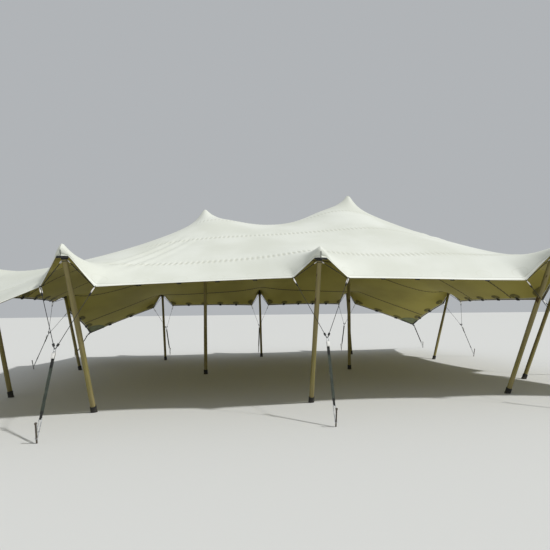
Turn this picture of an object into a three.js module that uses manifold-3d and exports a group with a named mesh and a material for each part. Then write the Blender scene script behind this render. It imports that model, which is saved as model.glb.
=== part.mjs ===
// Stretch tent: one rectangular elastic cloth over two centre poles and ten leaning edge poles.
// Millimetres, +Z up. X runs along the long side, the front faces -Y, and the origin is on the
// ground under the middle of the tent.
import * as THREE from 'three';
import { mergeVertices } from 'three/addons/utils/BufferGeometryUtils.js';
import Module from 'manifold-3d';

const wasm = await Module();
wasm.setup();

// Cloth: the hem has an attachment point, or eye, at every pitch along all four sides.
const EYE_PITCH = 700;
const EYES_LONG = 22;
const EYES_SHORT = 15;
const PANEL_WIDTH = 1720;
const PANEL_NAMES = [
  'front_edge', 'front_outer', 'front_inner', 'ridge', 'back_inner', 'back_outer', 'back_edge',
];
const CLOTH_THICKNESS = 8;
const SEAM_GAP = 0.6;
const CLEARANCE = 0.3;

// Corners of the cloth, tied down low.
const CORNER_X = 7400;
const CORNER_Y = 5550;
const CORNER_HEIGHT = 1040;
const BACK_RIGHT_CORNER_HEIGHT = 1170;

// Centre poles, almost upright under the two peaks.
const CENTRE_POLE_X = 2350;
const PEAK_HEIGHTS = { centre_left: 5070, centre_right: 5680 };
const CENTRE_FOOT_X = { centre_left: -2290, centre_right: 2220 };
const CENTRE_POLE_RADIUS = 50;

// Edge poles. eye is the attachment point counted along the long and the short side, apex is where
// the pole's head lifts the cloth, and foot is where its boot stands. v is where the guy pulls the two
// neighbouring eyes, each as distances from the apex: along the hem, inwards and down. ridge is how
// strongly the cloth is drawn towards the pole, and stake is where the stake stands along the hem.
const EDGE_POLE_RADIUS = 46;
const EDGE_POLES = {
  front_left: {
    eye: [4, 0], apex: [-4450, -5300, 2985], foot: [-4200, -4150],
    v: [[-380, 190, 694], [480, 190, 694]], ridge: 0, stake: -4450,
  },
  front_middle: {
    eye: [11, 0], apex: [-80, -5300, 3000], foot: [-30, -4150],
    v: [[-470, 190, 551], [580, 190, 551]], ridge: 0, stake: -40,
  },
  front_right: {
    eye: [18, 0], apex: [4765, -5300, 3090], foot: [4385, -4150],
    v: [[-565, 190, 680], [565, 190, 680]], ridge: 7.8, stake: 4650,
  },
  back_left: {
    eye: [4, 15], apex: [-4370, 5250, 2815], foot: [-4000, 3900],
    v: [[-325, 190, 735], [490, 190, 650]], ridge: 0, stake: -4070,
  },
  back_middle: {
    eye: [11, 15], apex: [-100, 5250, 2879], foot: [-150, 4150],
    v: [[-380, 190, 721], [380, 190, 721]], ridge: 0, stake: -100,
  },
  back_right: {
    eye: [18, 15], apex: [4000, 5250, 2930], foot: [3750, 4150],
    v: [[-480, 190, 755], [330, 190, 755]], ridge: 0, stake: 3860,
  },
  left_front: {
    eye: [0, 4], apex: [-7250, -2300, 2999], foot: [-6500, -2400],
    v: [[-450, 190, 747], [450, 190, 747]], ridge: 6, stake: -2300,
  },
  left_back: {
    eye: [0, 11], apex: [-7270, 2300, 2655], foot: [-6450, 1750],
    v: [[-450, -170, 390], [450, 0, 720]], ridge: 0, stake: 2300,
  },
  right_front: {
    eye: [22, 4], apex: [7700, -2680, 3342], foot: [6100, -2650],
    v: [[-450, 190, 900], [720, 190, 1240]], ridge: 0, stake: -2500,
  },
  right_back: {
    eye: [22, 11], apex: [7450, 2500, 2737], foot: [6150, 1750],
    v: [[-680, 0, 560], [420, 50, 620]], ridge: 0, stake: 2200,
  },
};

// The hem hangs over each edge pole's head.
const HOOD_REACH = 40;
const HOOD_DROP = 210;

// How the cloth carries its tension: the hem is the stiffest line, the lines from each peak to its
// edge poles come next, and the cloth is a little tighter towards a peak.
const HEM_PULL_IN_PLAN = 20;
const HEM_PULL_IN_HEIGHT = 104;
const RIDGE_WIDTH = 768;
const PEAK_TIGHTNESS = 0.05;
const PEAK_CORE = 150;

// Pole details.
const POLE_SIDES = 12;
const PEG_LENGTH = 175;
const PEG_RADIUS = 30;
const PEG_TIP_RADIUS = 0.5;
const SHAFT_BOTTOM = 42;
const BOOT_HEIGHT = 130;
const BOOT_WALL = 12;
const BOOT_SOLE = 80;

// Guys: two ropes from the V's eyes meet at a junction, and a strap runs from there to a stake.
const ROPE_RADIUS = 6;
const ROPE_SIDES = 6;
const BITE = 4;
const FITTING_RADIUS = 14;
const FITTING_LENGTH = 210;
const EYE_TIP_RADIUS = 0.5;
const JUNCTION_SHARE = 0.46;
const JUNCTION_RADIUS = 24;
const STRAP_WIDTH = 45;
const STRAP_THICKNESS = 6;
const RATCHET = { length: 270, width: 46, thickness: 26, from_junction: 40 };
const STAKE_RADIUS = 14;
const STAKE_HEIGHT = 300;
const STAKE_LEAN = 70;
const HITCH_HEIGHT = 70;
const SIDE_STAKE_X = 8120;
const ROW_STAKE_Y = 5850;
const CORNER_STAKE_Y = 6050;

// Materials.
const material = (color, roughness, metalness = 0) =>
  new THREE.MeshStandardMaterial({ color, roughness, metalness });
const CLOTH_COLOUR = 0xe4e6da;
const WOOD_COLOUR = 0x96823f;
const RUBBER_COLOUR = 0x1b1c1b;
const WEBBING_COLOUR = 0x4a5148;

// The cloth's net: the eyes, with one more line of nodes halfway between them.
const CELLS_PER_EYE = 2;
const CELL = EYE_PITCH / CELLS_PER_EYE;
const CELLS_LONG = EYES_LONG * CELLS_PER_EYE;
const CELLS_SHORT = EYES_SHORT * CELLS_PER_EYE;
const CLOTH_HALF_LENGTH = EYES_LONG * EYE_PITCH / 2;
const CLOTH_HALF_WIDTH = EYES_SHORT * EYE_PITCH / 2;
const RELAX_STEPS = 900;
const RELAX_FACTOR = 1.8;

const net = [];
for (let i = 0; i <= CELLS_LONG; i++) {
  net.push([]);
  for (let j = 0; j <= CELLS_SHORT; j++) {
    const x = CORNER_X * (2 * i / CELLS_LONG - 1);
    const y = CORNER_Y * (2 * j / CELLS_SHORT - 1);
    net[i].push({ point: new THREE.Vector3(x, y, 2500), fixed: false, normal: new THREE.Vector3() });
  }
}

function pin(i, j, x, y, z) {
  net[i][j].point.set(x, y, z);
  net[i][j].fixed = true;
}

// The outward direction of an edge pole in plan, seen from its side of the cloth.
function outwardOf(eye) {
  if (eye[1] === 0) return new THREE.Vector3(0, -1, 0);
  if (eye[1] === EYES_SHORT) return new THREE.Vector3(0, 1, 0);
  return new THREE.Vector3(eye[0] === 0 ? -1 : 1, 0, 0);
}

function pinCorners() {
  for (const i of [0, CELLS_LONG]) {
    for (const j of [0, CELLS_SHORT]) {
      const height = i > 0 && j > 0 ? BACK_RIGHT_CORNER_HEIGHT : CORNER_HEIGHT;
      pin(i, j, Math.sign(i - 1) * CORNER_X, Math.sign(j - 1) * CORNER_Y, height);
    }
  }
}

function pinEdgePole(pole) {
  const outward = outwardOf(pole.eye);
  const along = new THREE.Vector3(Math.abs(outward.y), Math.abs(outward.x), 0);
  const [x, y, z] = pole.apex;
  const i = pole.eye[0] * CELLS_PER_EYE;
  const j = pole.eye[1] * CELLS_PER_EYE;
  pin(i - outward.x, j - outward.y, x, y, z);
  pin(i, j, x + outward.x * HOOD_REACH, y + outward.y * HOOD_REACH, z - HOOD_DROP);
  pole.v.forEach(([aside, inset, drop], index) => {
    const step = (2 * index - 1) * CELLS_PER_EYE;
    const eyeX = x + aside * along.x - inset * outward.x;
    const eyeY = y + aside * along.y - inset * outward.y;
    pin(i + along.x * step, j + along.y * step, eyeX, eyeY, z - drop);
  });
}

function peakColumn(x) {
  return Math.round((x / CORNER_X + 1) * CLOTH_HALF_LENGTH / CELL);
}

function distanceToSegment(x, y, from, to) {
  const dx = to[0] - from[0];
  const dy = to[1] - from[1];
  const share = ((x - from[0]) * dx + (y - from[1]) * dy) / (dx * dx + dy * dy);
  const t = THREE.MathUtils.clamp(share, 0, 1);
  return Math.hypot(x - from[0] - t * dx, y - from[1] - t * dy);
}

// How strongly the cloth holds its height across one link of the net, from the link's middle.
function tightness(x, y) {
  const left = [-CENTRE_POLE_X, 0];
  const right = [CENTRE_POLE_X, 0];
  const toPeak = Math.min(Math.hypot(x - left[0], y), Math.hypot(x - right[0], y));
  let value = ((toPeak + PEAK_CORE) / 1000) ** -PEAK_TIGHTNESS;
  for (const pole of Object.values(EDGE_POLES)) {
    const peak = pole.apex[0] < 0 ? left : right;
    const distance = distanceToSegment(x, y, peak, pole.apex);
    value *= 1 + pole.ridge * Math.exp(-((distance / RIDGE_WIDTH) ** 2));
  }
  return value;
}

// The links from each node to its neighbours, with their weights.
function linkNet(weightOf) {
  const links = net.map((column) => column.map(() => []));
  const join = (i, j, m, n, onHem) => {
    const a = net[i][j].point;
    const b = net[m][n].point;
    const weight = weightOf((a.x + b.x) / 2, (a.y + b.y) / 2, onHem);
    links[i][j].push([net[m][n], weight]);
    links[m][n].push([net[i][j], weight]);
  };
  for (let i = 0; i <= CELLS_LONG; i++) {
    for (let j = 0; j <= CELLS_SHORT; j++) {
      if (i < CELLS_LONG) join(i, j, i + 1, j, j === 0 || j === CELLS_SHORT);
      if (j < CELLS_SHORT) join(i, j, i, j + 1, i === 0 || i === CELLS_LONG);
    }
  }
  return links;
}

// Every free node moves to the weighted mean of its neighbours until the net is at rest.
function relax(axes, weightOf) {
  const links = linkNet(weightOf);
  for (let step = 0; step < RELAX_STEPS; step++) {
    for (let i = 0; i <= CELLS_LONG; i++) {
      for (let j = 0; j <= CELLS_SHORT; j++) {
        if (net[i][j].fixed) continue;
        for (const axis of axes) {
          let sum = 0;
          let total = 0;
          for (const [node, weight] of links[i][j]) {
            sum += weight * node.point[axis];
            total += weight;
          }
          net[i][j].point[axis] += RELAX_FACTOR * (sum / total - net[i][j].point[axis]);
        }
      }
    }
  }
}

function findNormals() {
  const clampLong = (i) => THREE.MathUtils.clamp(i, 0, CELLS_LONG);
  const clampShort = (j) => THREE.MathUtils.clamp(j, 0, CELLS_SHORT);
  for (let i = 0; i <= CELLS_LONG; i++) {
    for (let j = 0; j <= CELLS_SHORT; j++) {
      const alongX = net[clampLong(i + 1)][j].point.clone().sub(net[clampLong(i - 1)][j].point);
      const alongY = net[i][clampShort(j + 1)].point.clone().sub(net[i][clampShort(j - 1)].point);
      net[i][j].normal.crossVectors(alongX, alongY).normalize();
    }
  }
}

function shapeCloth() {
  pinCorners();
  Object.values(EDGE_POLES).forEach(pinEdgePole);
  pin(peakColumn(-CENTRE_POLE_X), CELLS_SHORT / 2, -CENTRE_POLE_X, 0, PEAK_HEIGHTS.centre_left);
  pin(peakColumn(CENTRE_POLE_X), CELLS_SHORT / 2, CENTRE_POLE_X, 0, PEAK_HEIGHTS.centre_right);
  relax(['x', 'y'], (x, y, onHem) => (onHem ? HEM_PULL_IN_PLAN : 1));
  relax(['z'], (x, y, onHem) => (onHem ? HEM_PULL_IN_HEIGHT : 1) * tightness(x, y));
  findNormals();
}

// A point of the cloth's middle surface, lifted along the normal, on column i of the net at the
// flat distance v from the front hem.
function clothPoint(i, v, lift) {
  const row = v / CELL;
  const j = Math.min(Math.floor(row), CELLS_SHORT - 1);
  const t = row - j;
  const point = net[i][j].point.clone().lerp(net[i][j + 1].point, t);
  const normal = net[i][j].normal.clone().lerp(net[i][j + 1].normal, t).normalize();
  return point.addScaledVector(normal, lift);
}

// Rows of a panel: its two seams and the net's rows between them.
function panelRows(start, end) {
  const rows = [start];
  for (let j = 1; j < CELLS_SHORT; j++) {
    const v = j * CELL;
    if (v > start + CELL / 4 && v < end - CELL / 4) rows.push(v);
  }
  rows.push(end);
  return rows;
}

// The flat distance from the front hem to the seam behind a panel. The two edge panels are narrower.
function seamBehind(index) {
  return CLOTH_HALF_WIDTH + (index + 1 - PANEL_NAMES.length / 2) * PANEL_WIDTH;
}

// One panel as a closed shell between an upper and a lower sheet.
function panelGeometry(index, thickness) {
  const last = PANEL_NAMES.length - 1;
  const start = index === 0 ? 0 : seamBehind(index - 1) + SEAM_GAP / 2;
  const end = index === last ? 2 * CLOTH_HALF_WIDTH : seamBehind(index) - SEAM_GAP / 2;
  const rows = panelRows(start, end);
  const columns = CELLS_LONG + 1;
  const positions = [];
  for (const lift of [thickness / 2, -thickness / 2]) {
    for (const v of rows) {
      for (let i = 0; i < columns; i++) positions.push(...clothPoint(i, v, lift).toArray());
    }
  }
  const triangles = [];
  const quad = (a, b, c, d) => triangles.push(a, b, c, a, c, d);
  const upper = (row, i) => row * columns + i;
  const lower = (row, i) => (rows.length + row) * columns + i;
  for (let row = 0; row < rows.length - 1; row++) {
    for (let i = 0; i < columns - 1; i++) {
      quad(upper(row, i), upper(row, i + 1), upper(row + 1, i + 1), upper(row + 1, i));
      quad(lower(row, i), lower(row + 1, i), lower(row + 1, i + 1), lower(row, i + 1));
    }
    quad(upper(row, 0), upper(row + 1, 0), lower(row + 1, 0), lower(row, 0));
    const end = columns - 1;
    quad(upper(row, end), lower(row, end), lower(row + 1, end), upper(row + 1, end));
  }
  const back = rows.length - 1;
  for (let i = 0; i < columns - 1; i++) {
    quad(upper(0, i), lower(0, i), lower(0, i + 1), upper(0, i + 1));
    quad(upper(back, i), upper(back, i + 1), lower(back, i + 1), lower(back, i));
  }
  const geometry = new THREE.BufferGeometry();
  geometry.setAttribute('position', new THREE.Float32BufferAttribute(positions, 3));
  geometry.setIndex(triangles);
  return geometry;
}

// Solids for joining and cutting.
function toSolid(geometry) {
  const bare = geometry.clone();
  bare.deleteAttribute('normal');
  bare.deleteAttribute('uv');
  const merged = mergeVertices(bare, 1e-3);
  const mesh = new wasm.Mesh({
    numProp: 3,
    vertProperties: new Float32Array(merged.attributes.position.array),
    triVerts: new Uint32Array(merged.index.array),
  });
  return new wasm.Manifold(mesh);
}

function toGeometry(solid) {
  const mesh = solid.getMesh();
  const geometry = new THREE.BufferGeometry();
  geometry.setAttribute('position', new THREE.BufferAttribute(new Float32Array(mesh.vertProperties), 3));
  geometry.setIndex(new THREE.BufferAttribute(new Uint32Array(mesh.triVerts), 1));
  return geometry;
}

// The space that a pole's head or a rope's end leaves free around the cloth.
const clothSpaces = [];

// A solid trimmed back to one side of the cloth, without the crumb of its tip beyond the cloth.
function trimmed(solid, cloth) {
  const pieces = solid.subtract(cloth).decompose();
  return pieces.reduce((largest, piece) => (piece.volume() > largest.volume() ? piece : largest));
}

function panelAt(v) {
  return PANEL_NAMES.findIndex((name, index) => index === PANEL_NAMES.length - 1 || v < seamBehind(index));
}

// A frame with its origin at one point and its Z axis towards another.
function frameAlong(from, to) {
  const direction = to.clone().sub(from).normalize();
  const turn = new THREE.Quaternion().setFromUnitVectors(new THREE.Vector3(0, 0, 1), direction);
  return new THREE.Matrix4().compose(from, turn, new THREE.Vector3(1, 1, 1));
}

// A turned shape along Z, from a profile of [radius, height] pairs that starts and ends on the axis.
function turned(profile, sides) {
  const points = profile.map(([radius, height]) => new THREE.Vector2(radius, height));
  return new THREE.LatheGeometry(points, sides).rotateX(Math.PI / 2);
}

// A round bar between two points, run on a little at its far end so that it bites into the next.
function roundBar(from, to, radius) {
  const length = from.distanceTo(to) + BITE;
  const bar = turned([[0, 0], [radius, 0], [radius, length], [0, length]], ROPE_SIDES);
  return toSolid(bar.applyMatrix4(frameAlong(from, to)));
}

const tent = new THREE.Group();

function addPart(name, geometry, look, frame) {
  const part = new THREE.Mesh(geometry, look);
  part.name = name;
  if (frame) frame.decompose(part.position, part.quaternion, part.scale);
  tent.add(part);
}

function addCanopy() {
  PANEL_NAMES.forEach((name, index) => {
    addPart(`canopy_${name}`, panelGeometry(index, CLOTH_THICKNESS), material(CLOTH_COLOUR, 0.8));
    clothSpaces.push(panelGeometry(index, CLOTH_THICKNESS + 2 * CLEARANCE));
  });
}

// A pole's shaft, round, with a tapered peg on its head that lifts the cloth: the peg's tip reaches
// the cloth's middle surface and is cut back to its underside.
function addShaft(name, foot, apex, radius, panel) {
  const frame = frameAlong(foot, apex);
  const length = foot.distanceTo(apex);
  const shaft = turned([
    [0, SHAFT_BOTTOM],
    [radius, SHAFT_BOTTOM],
    [radius, length - PEG_LENGTH],
    [PEG_RADIUS, length - PEG_LENGTH],
    [PEG_TIP_RADIUS, length],
    [0, length],
  ], POLE_SIDES);
  const cloth = toSolid(clothSpaces[panel].clone().applyMatrix4(frame.clone().invert()));
  addPart(`pole_${name}`, toGeometry(trimmed(toSolid(shaft), cloth)), material(WOOD_COLOUR, 0.7), frame);
}

// A rubber boot: a cup round the pole's end, with its sole cut level with the ground.
function addBoot(name, foot, apex, radius) {
  const frame = frameAlong(foot, apex);
  const outer = radius + BOOT_WALL;
  const socket = radius + CLEARANCE;
  const floor = SHAFT_BOTTOM - CLEARANCE;
  const cup = turned([
    [0, -BOOT_SOLE],
    [outer, -BOOT_SOLE],
    [outer, BOOT_HEIGHT],
    [socket, BOOT_HEIGHT],
    [socket, floor],
    [0, floor],
  ], POLE_SIDES);
  const reach = 4 * outer;
  const below = new THREE.BoxGeometry(reach, reach, reach);
  below.translate(foot.x, foot.y, -reach / 2);
  below.applyMatrix4(frame.clone().invert());
  addPart(`boot_${name}`, toGeometry(toSolid(cup).subtract(toSolid(below))), material(RUBBER_COLOUR, 0.8), frame);
}

function addPole(name, foot, apex, radius, panel) {
  addShaft(name, foot, apex, radius, panel);
  addBoot(name, foot, apex, radius);
}

// A stake's part above the ground, leaning away from the pull.
function stakeSolid(foot, outward) {
  const top = foot.clone().addScaledVector(outward, STAKE_LEAN).setZ(STAKE_HEIGHT);
  const below = foot.clone().addScaledVector(outward, -STAKE_LEAN).setZ(-STAKE_HEIGHT);
  const rod = roundBar(below, top, STAKE_RADIUS);
  const reach = 2 * STAKE_HEIGHT;
  const ground = new THREE.BoxGeometry(reach, reach, reach).translate(foot.x, foot.y, -reach / 2);
  return rod.subtract(toSolid(ground));
}

// A flat bar along a line, its width level with the ground, run on a little at its far end.
function flatBar(from, to, width, thickness) {
  const length = from.distanceTo(to) + BITE;
  const z = to.clone().sub(from).normalize();
  const x = new THREE.Vector3(z.y, -z.x, 0).normalize();
  const y = new THREE.Vector3().crossVectors(z, x);
  const bar = new THREE.BoxGeometry(width, thickness, length).translate(0, 0, length / 2);
  const frame = new THREE.Matrix4().makeBasis(x, y, z).setPosition(from);
  return toSolid(bar.applyMatrix4(frame));
}

function strapSolids(junction, hitch) {
  const direction = hitch.clone().sub(junction).normalize();
  const ratchetTop = junction.clone().addScaledVector(direction, RATCHET.from_junction);
  const ratchetEnd = ratchetTop.clone().addScaledVector(direction, RATCHET.length);
  return [
    roundBar(junction, ratchetTop, ROPE_RADIUS),
    flatBar(ratchetTop, ratchetEnd, RATCHET.width, RATCHET.thickness),
    flatBar(ratchetEnd, hitch, STRAP_WIDTH, STRAP_THICKNESS),
  ];
}

// A rope from an eye of the hem: a pointed tip inside the cloth's edge, a fitting, then the rope.
function ropeSolid(eye, junction) {
  const length = eye.distanceTo(junction);
  const rope = turned([
    [0, 0],
    [EYE_TIP_RADIUS, 0],
    [FITTING_RADIUS, 2 * FITTING_RADIUS],
    [FITTING_RADIUS, FITTING_LENGTH],
    [ROPE_RADIUS, FITTING_LENGTH],
    [ROPE_RADIUS, length],
    [0, length],
  ], ROPE_SIDES);
  return toSolid(rope.applyMatrix4(frameAlong(eye, junction)));
}

function addGuy(name, solids, panels) {
  let guy = solids.reduce((joined, solid) => joined.add(solid));
  for (const panel of panels) guy = trimmed(guy, toSolid(clothSpaces[panel]));
  addPart(name, toGeometry(guy), material(WEBBING_COLOUR, 0.75));
}

function stakeFoot(pole, outward) {
  if (outward.x === 0) return new THREE.Vector3(pole.stake, outward.y * ROW_STAKE_Y, 0);
  return new THREE.Vector3(outward.x * SIDE_STAKE_X, pole.stake, 0);
}

function addPoleGuy(name, pole) {
  const outward = outwardOf(pole.eye);
  const foot = stakeFoot(pole, outward);
  const hitch = foot.clone().addScaledVector(outward, STAKE_LEAN * HITCH_HEIGHT / STAKE_HEIGHT).setZ(HITCH_HEIGHT);
  const long = Math.abs(outward.y);
  const short = Math.abs(outward.x);
  const eyes = [-1, 1].map((side) => net[(pole.eye[0] + side * long) * CELLS_PER_EYE][
    (pole.eye[1] + side * short) * CELLS_PER_EYE].point);
  const middle = eyes[0].clone().add(eyes[1]).multiplyScalar(0.5);
  const junction = middle.clone().lerp(hitch, JUNCTION_SHARE);
  const knot = new THREE.SphereGeometry(JUNCTION_RADIUS, 6, 4).translate(...junction.toArray());
  const solids = [toSolid(knot), ...strapSolids(junction, hitch), stakeSolid(foot, outward)];
  for (const eye of eyes) solids.push(ropeSolid(eye, junction));
  const panels = new Set([-1, 0, 1].map((side) => panelAt((pole.eye[1] + side * short) * EYE_PITCH)));
  addGuy(`guy_${name}`, solids, panels);
}

function addCornerGuy(name, i, j) {
  const eye = net[i][j].point;
  const outward = new THREE.Vector3(Math.sign(eye.x), Math.sign(eye.y), 0).normalize();
  const foot = new THREE.Vector3(Math.sign(eye.x) * SIDE_STAKE_X, Math.sign(eye.y) * CORNER_STAKE_Y, 0);
  const hitch = foot.clone().addScaledVector(outward, STAKE_LEAN * HITCH_HEIGHT / STAKE_HEIGHT).setZ(HITCH_HEIGHT);
  const junction = eye.clone().lerp(hitch, JUNCTION_SHARE);
  const solids = [
    ropeSolid(eye, junction),
    flatBar(junction, hitch, STRAP_WIDTH, STRAP_THICKNESS),
    stakeSolid(foot, outward),
  ];
  addGuy(`guy_${name}_corner`, solids, [panelAt(j * CELL)]);
}

function addCentrePole(name, x) {
  const foot = new THREE.Vector3(CENTRE_FOOT_X[name], 0, 0);
  const apex = new THREE.Vector3(x, 0, PEAK_HEIGHTS[name]);
  addPole(name, foot, apex, CENTRE_POLE_RADIUS, panelAt(CELLS_SHORT / 2 * CELL));
}

shapeCloth();
addCanopy();
addCentrePole('centre_left', -CENTRE_POLE_X);
addCentrePole('centre_right', CENTRE_POLE_X);
for (const [name, pole] of Object.entries(EDGE_POLES)) {
  const foot = new THREE.Vector3(...pole.foot, 0);
  const apex = new THREE.Vector3(...pole.apex);
  const panel = panelAt((pole.eye[1] * CELLS_PER_EYE - outwardOf(pole.eye).y) * CELL);
  addPole(name, foot, apex, EDGE_POLE_RADIUS, panel);
  addPoleGuy(name, pole);
}
addCornerGuy('front_left', 0, 0);
addCornerGuy('front_right', CELLS_LONG, 0);
addCornerGuy('back_left', 0, CELLS_SHORT);
addCornerGuy('back_right', CELLS_LONG, CELLS_SHORT);

export default tent;
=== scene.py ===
# %% [markdown]
# # A stretch tent
#
# The real tent is one rectangular elastic cloth, sewn from seven long panels, cream outside and
# olive inside. Two upright poles push it up into two peaks, and ten leaning poles hold its hem out
# and up, each one pulled down again by a guy. The four corners are tied down low.
#
# The solids of the tent are already there, in the frame that is loaded first. Every piece made
# here takes the place of one of them, in the same place and in metres, so nothing has to be fitted.

import math
from collections import namedtuple

import bmesh
import bpy
import numpy as np
from mathutils import Matrix, Vector


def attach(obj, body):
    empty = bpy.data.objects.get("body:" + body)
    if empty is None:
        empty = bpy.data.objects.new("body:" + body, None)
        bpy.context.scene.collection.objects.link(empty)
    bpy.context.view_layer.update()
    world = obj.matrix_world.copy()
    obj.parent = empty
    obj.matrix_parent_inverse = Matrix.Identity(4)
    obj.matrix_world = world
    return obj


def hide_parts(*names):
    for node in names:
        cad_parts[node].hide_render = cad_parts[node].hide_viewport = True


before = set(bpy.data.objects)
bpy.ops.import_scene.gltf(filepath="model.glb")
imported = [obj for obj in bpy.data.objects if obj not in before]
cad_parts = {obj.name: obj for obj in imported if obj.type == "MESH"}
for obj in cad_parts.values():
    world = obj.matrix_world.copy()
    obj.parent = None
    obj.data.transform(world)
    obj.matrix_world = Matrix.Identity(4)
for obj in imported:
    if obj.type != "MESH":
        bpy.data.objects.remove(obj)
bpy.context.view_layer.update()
print("solids loaded:", len(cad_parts))

# %% [markdown]
# ## The camera
#
# The tent was seen from a little under two metres above the ground, about seven metres in front of
# the middle pole, through a wide lens. A camera is easiest to place from three directions: where it
# looks, what is up and what is right. The columns of its matrix are those directions, with the
# looking direction turned round, because a camera looks along its own minus Z.

# %% Place the camera
EYE_POINT = Vector((-1.87, -11.92, 1.81))
YAW = math.radians(-8.242)
PITCH = math.radians(5.682)
ROLL = math.radians(-0.649)
SENSOR_WIDTH = 36.0
FOCAL_SHARE = 380.9 / 550


def put(name, data):
    """Makes an object and adds it to the scene."""
    made = bpy.data.objects.new(name, data)
    bpy.context.scene.collection.objects.link(made)
    return made


def add_camera():
    """Makes the camera and sets it as the scene's own."""
    level_right = Vector((math.cos(YAW), math.sin(YAW), 0))
    level_ahead = Vector((-math.sin(YAW), math.cos(YAW), 0))
    ahead = math.cos(PITCH) * level_ahead + math.sin(PITCH) * Vector((0, 0, 1))
    above = level_right.cross(ahead)
    right = math.cos(ROLL) * level_right + math.sin(ROLL) * above
    up = right.cross(ahead)
    lens = bpy.data.cameras.new("camera")
    lens.sensor_width = SENSOR_WIDTH
    lens.lens = SENSOR_WIDTH * FOCAL_SHARE
    lens.clip_end = 1000
    camera = put("camera", lens)
    turn = Matrix((right, up, -ahead)).transposed()
    camera.matrix_world = Matrix.Translation(EYE_POINT) @ turn.to_4x4()
    bpy.context.scene.camera = camera
    return camera


camera = add_camera()
print("camera lens in millimetres:", round(camera.data.lens, 2))

# %% [markdown]
# ## Finishes as sums
#
# A finish is a tree of nodes. Writing each node out takes many lines, so one small class wraps a
# socket and turns +, -, * and / into Math nodes, also with a plain number on the left. Another class
# holds one finish and makes every other node through a single method.

# %% Wires and finishes
LAID = "laid"
CLOUD_EDGE = (0.35, 0.65)


class Wire:
    """An output socket that can be used in sums."""

    def __init__(self, finish, socket):
        self.finish = finish
        self.socket = socket

    def maths(self, operation, *terms):
        return self.finish.node("ShaderNodeMath", {"operation": operation}, dict(enumerate(terms)))

    def __add__(self, other):
        return self.maths("ADD", self, other)

    def __radd__(self, other):
        return self.maths("ADD", other, self)

    def __sub__(self, other):
        return self.maths("SUBTRACT", self, other)

    def __rsub__(self, other):
        return self.maths("SUBTRACT", other, self)

    def __mul__(self, other):
        return self.maths("MULTIPLY", self, other)

    def __rmul__(self, other):
        return self.maths("MULTIPLY", other, self)

    def __truediv__(self, other):
        return self.maths("DIVIDE", self, other)

    def __rtruediv__(self, other):
        return self.maths("DIVIDE", other, self)

    def sine(self):
        return self.maths("SINE", self)

    def size(self):
        return self.maths("ABSOLUTE", self)

    def root(self):
        return self.maths("SQRT", self)

    def at_most(self, other):
        return self.maths("MINIMUM", self, other)

    def at_least(self, other):
        return self.maths("MAXIMUM", self, other)

    def past_nearest(self, pitch):
        """How far past the nearest whole number of pitches it is, less than zero before it."""
        return self.maths("WRAP", self, pitch / 2, -pitch / 2)

    def from_nearest(self, pitch):
        """The distance to the nearest whole number of pitches."""
        return self.past_nearest(pitch).size()

    def fades(self, start, end):
        """Runs smoothly from 1 at start to 0 at end."""
        settings = {"interpolation_type": "SMOOTHSTEP"}
        values = {0: self, 1: start, 2: end, 3: 1.0, 4: 0.0}
        return self.finish.node("ShaderNodeMapRange", settings, values)


class Finish:
    """One material, built from nodes."""

    def __init__(self, name):
        self.material = bpy.data.materials.new(name)
        self.material.use_nodes = True
        self.tree = self.material.node_tree
        self.shader = self.tree.nodes["Principled BSDF"]

    def node(self, kind, settings=None, values=None, output=0):
        """Makes a node, sets it up, links or sets its inputs, and returns one of its outputs."""
        made = self.tree.nodes.new(kind)
        for name, value in (settings or {}).items():
            setattr(made, name, value)
        for key, value in (values or {}).items():
            self.feed(made.inputs[key], value)
        return Wire(self, made.outputs[output])

    def feed(self, socket, value):
        if isinstance(value, Wire):
            self.tree.links.new(value.socket, socket)
        elif isinstance(value, tuple) and len(value) == 3 and socket.type == "RGBA":
            socket.default_value = (*value, 1)
        else:
            socket.default_value = value

    def laid(self):
        """The piece's own flat or straight coordinates, in metres, as three wires."""
        vector = self.node("ShaderNodeAttribute", {"attribute_name": LAID}, None, "Vector")
        split = self.node("ShaderNodeSeparateXYZ", None, {0: vector})
        return vector, *(Wire(self, output) for output in split.socket.node.outputs)

    def stretched(self, vector, scale):
        """Coordinates scaled by a different amount along each axis."""
        return self.node("ShaderNodeVectorMath", {"operation": "MULTIPLY"}, {0: vector, 1: scale})

    def noise(self, vector, scale, detail=2.0, roughness=0.5):
        values = {"Vector": vector, "Scale": scale, "Detail": detail, "Roughness": roughness}
        return self.node("ShaderNodeTexNoise", None, values)

    def mixed(self, share, first, second):
        """A colour between two colours."""
        return self.node("ShaderNodeMix", {"data_type": "RGBA"}, {0: share, 6: first, 7: second}, 2)

    def clouded(self, vector, scale, detail, light, dark):
        """Cloudy noise, and a colour that follows it softly from dark to light."""
        cloud = self.noise(vector, scale, detail)
        return cloud, self.mixed(cloud.fades(*CLOUD_EDGE), light, dark)

    def surface(self, colour, roughness, height=None, depth=0.001, constants=None):
        """Feeds the shader: what varies is linked, and what doesn't is set on its own socket."""
        self.feed(self.shader.inputs["Base Color"], colour)
        self.feed(self.shader.inputs["Roughness"], roughness)
        for name, value in (constants or {}).items():
            self.feed(self.shader.inputs[name], value)
        if height is not None:
            values = {"Strength": 1.0, "Distance": depth, "Height": height}
            self.feed(self.shader.inputs["Normal"], self.node("ShaderNodeBump", None, values))
        return self.material


def shade(red, green, blue):
    """A colour as it looks on a screen, from 0 to 255, as the linear values that a shader takes."""
    parts = [value / 255 for value in (red, green, blue)]
    return tuple(p / 12.92 if p <= 0.04045 else ((p + 0.055) / 1.055) ** 2.4 for p in parts)


print("cream in linear values:", [round(value, 3) for value in shade(228, 230, 218)])

# %% [markdown]
# ## The studio
#
# A pale floor and soft light from above keep the attention on the tent. The sun lamp is given a
# wide angle, so that its shadows have soft edges, and the pale sky fills in the rest.

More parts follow.
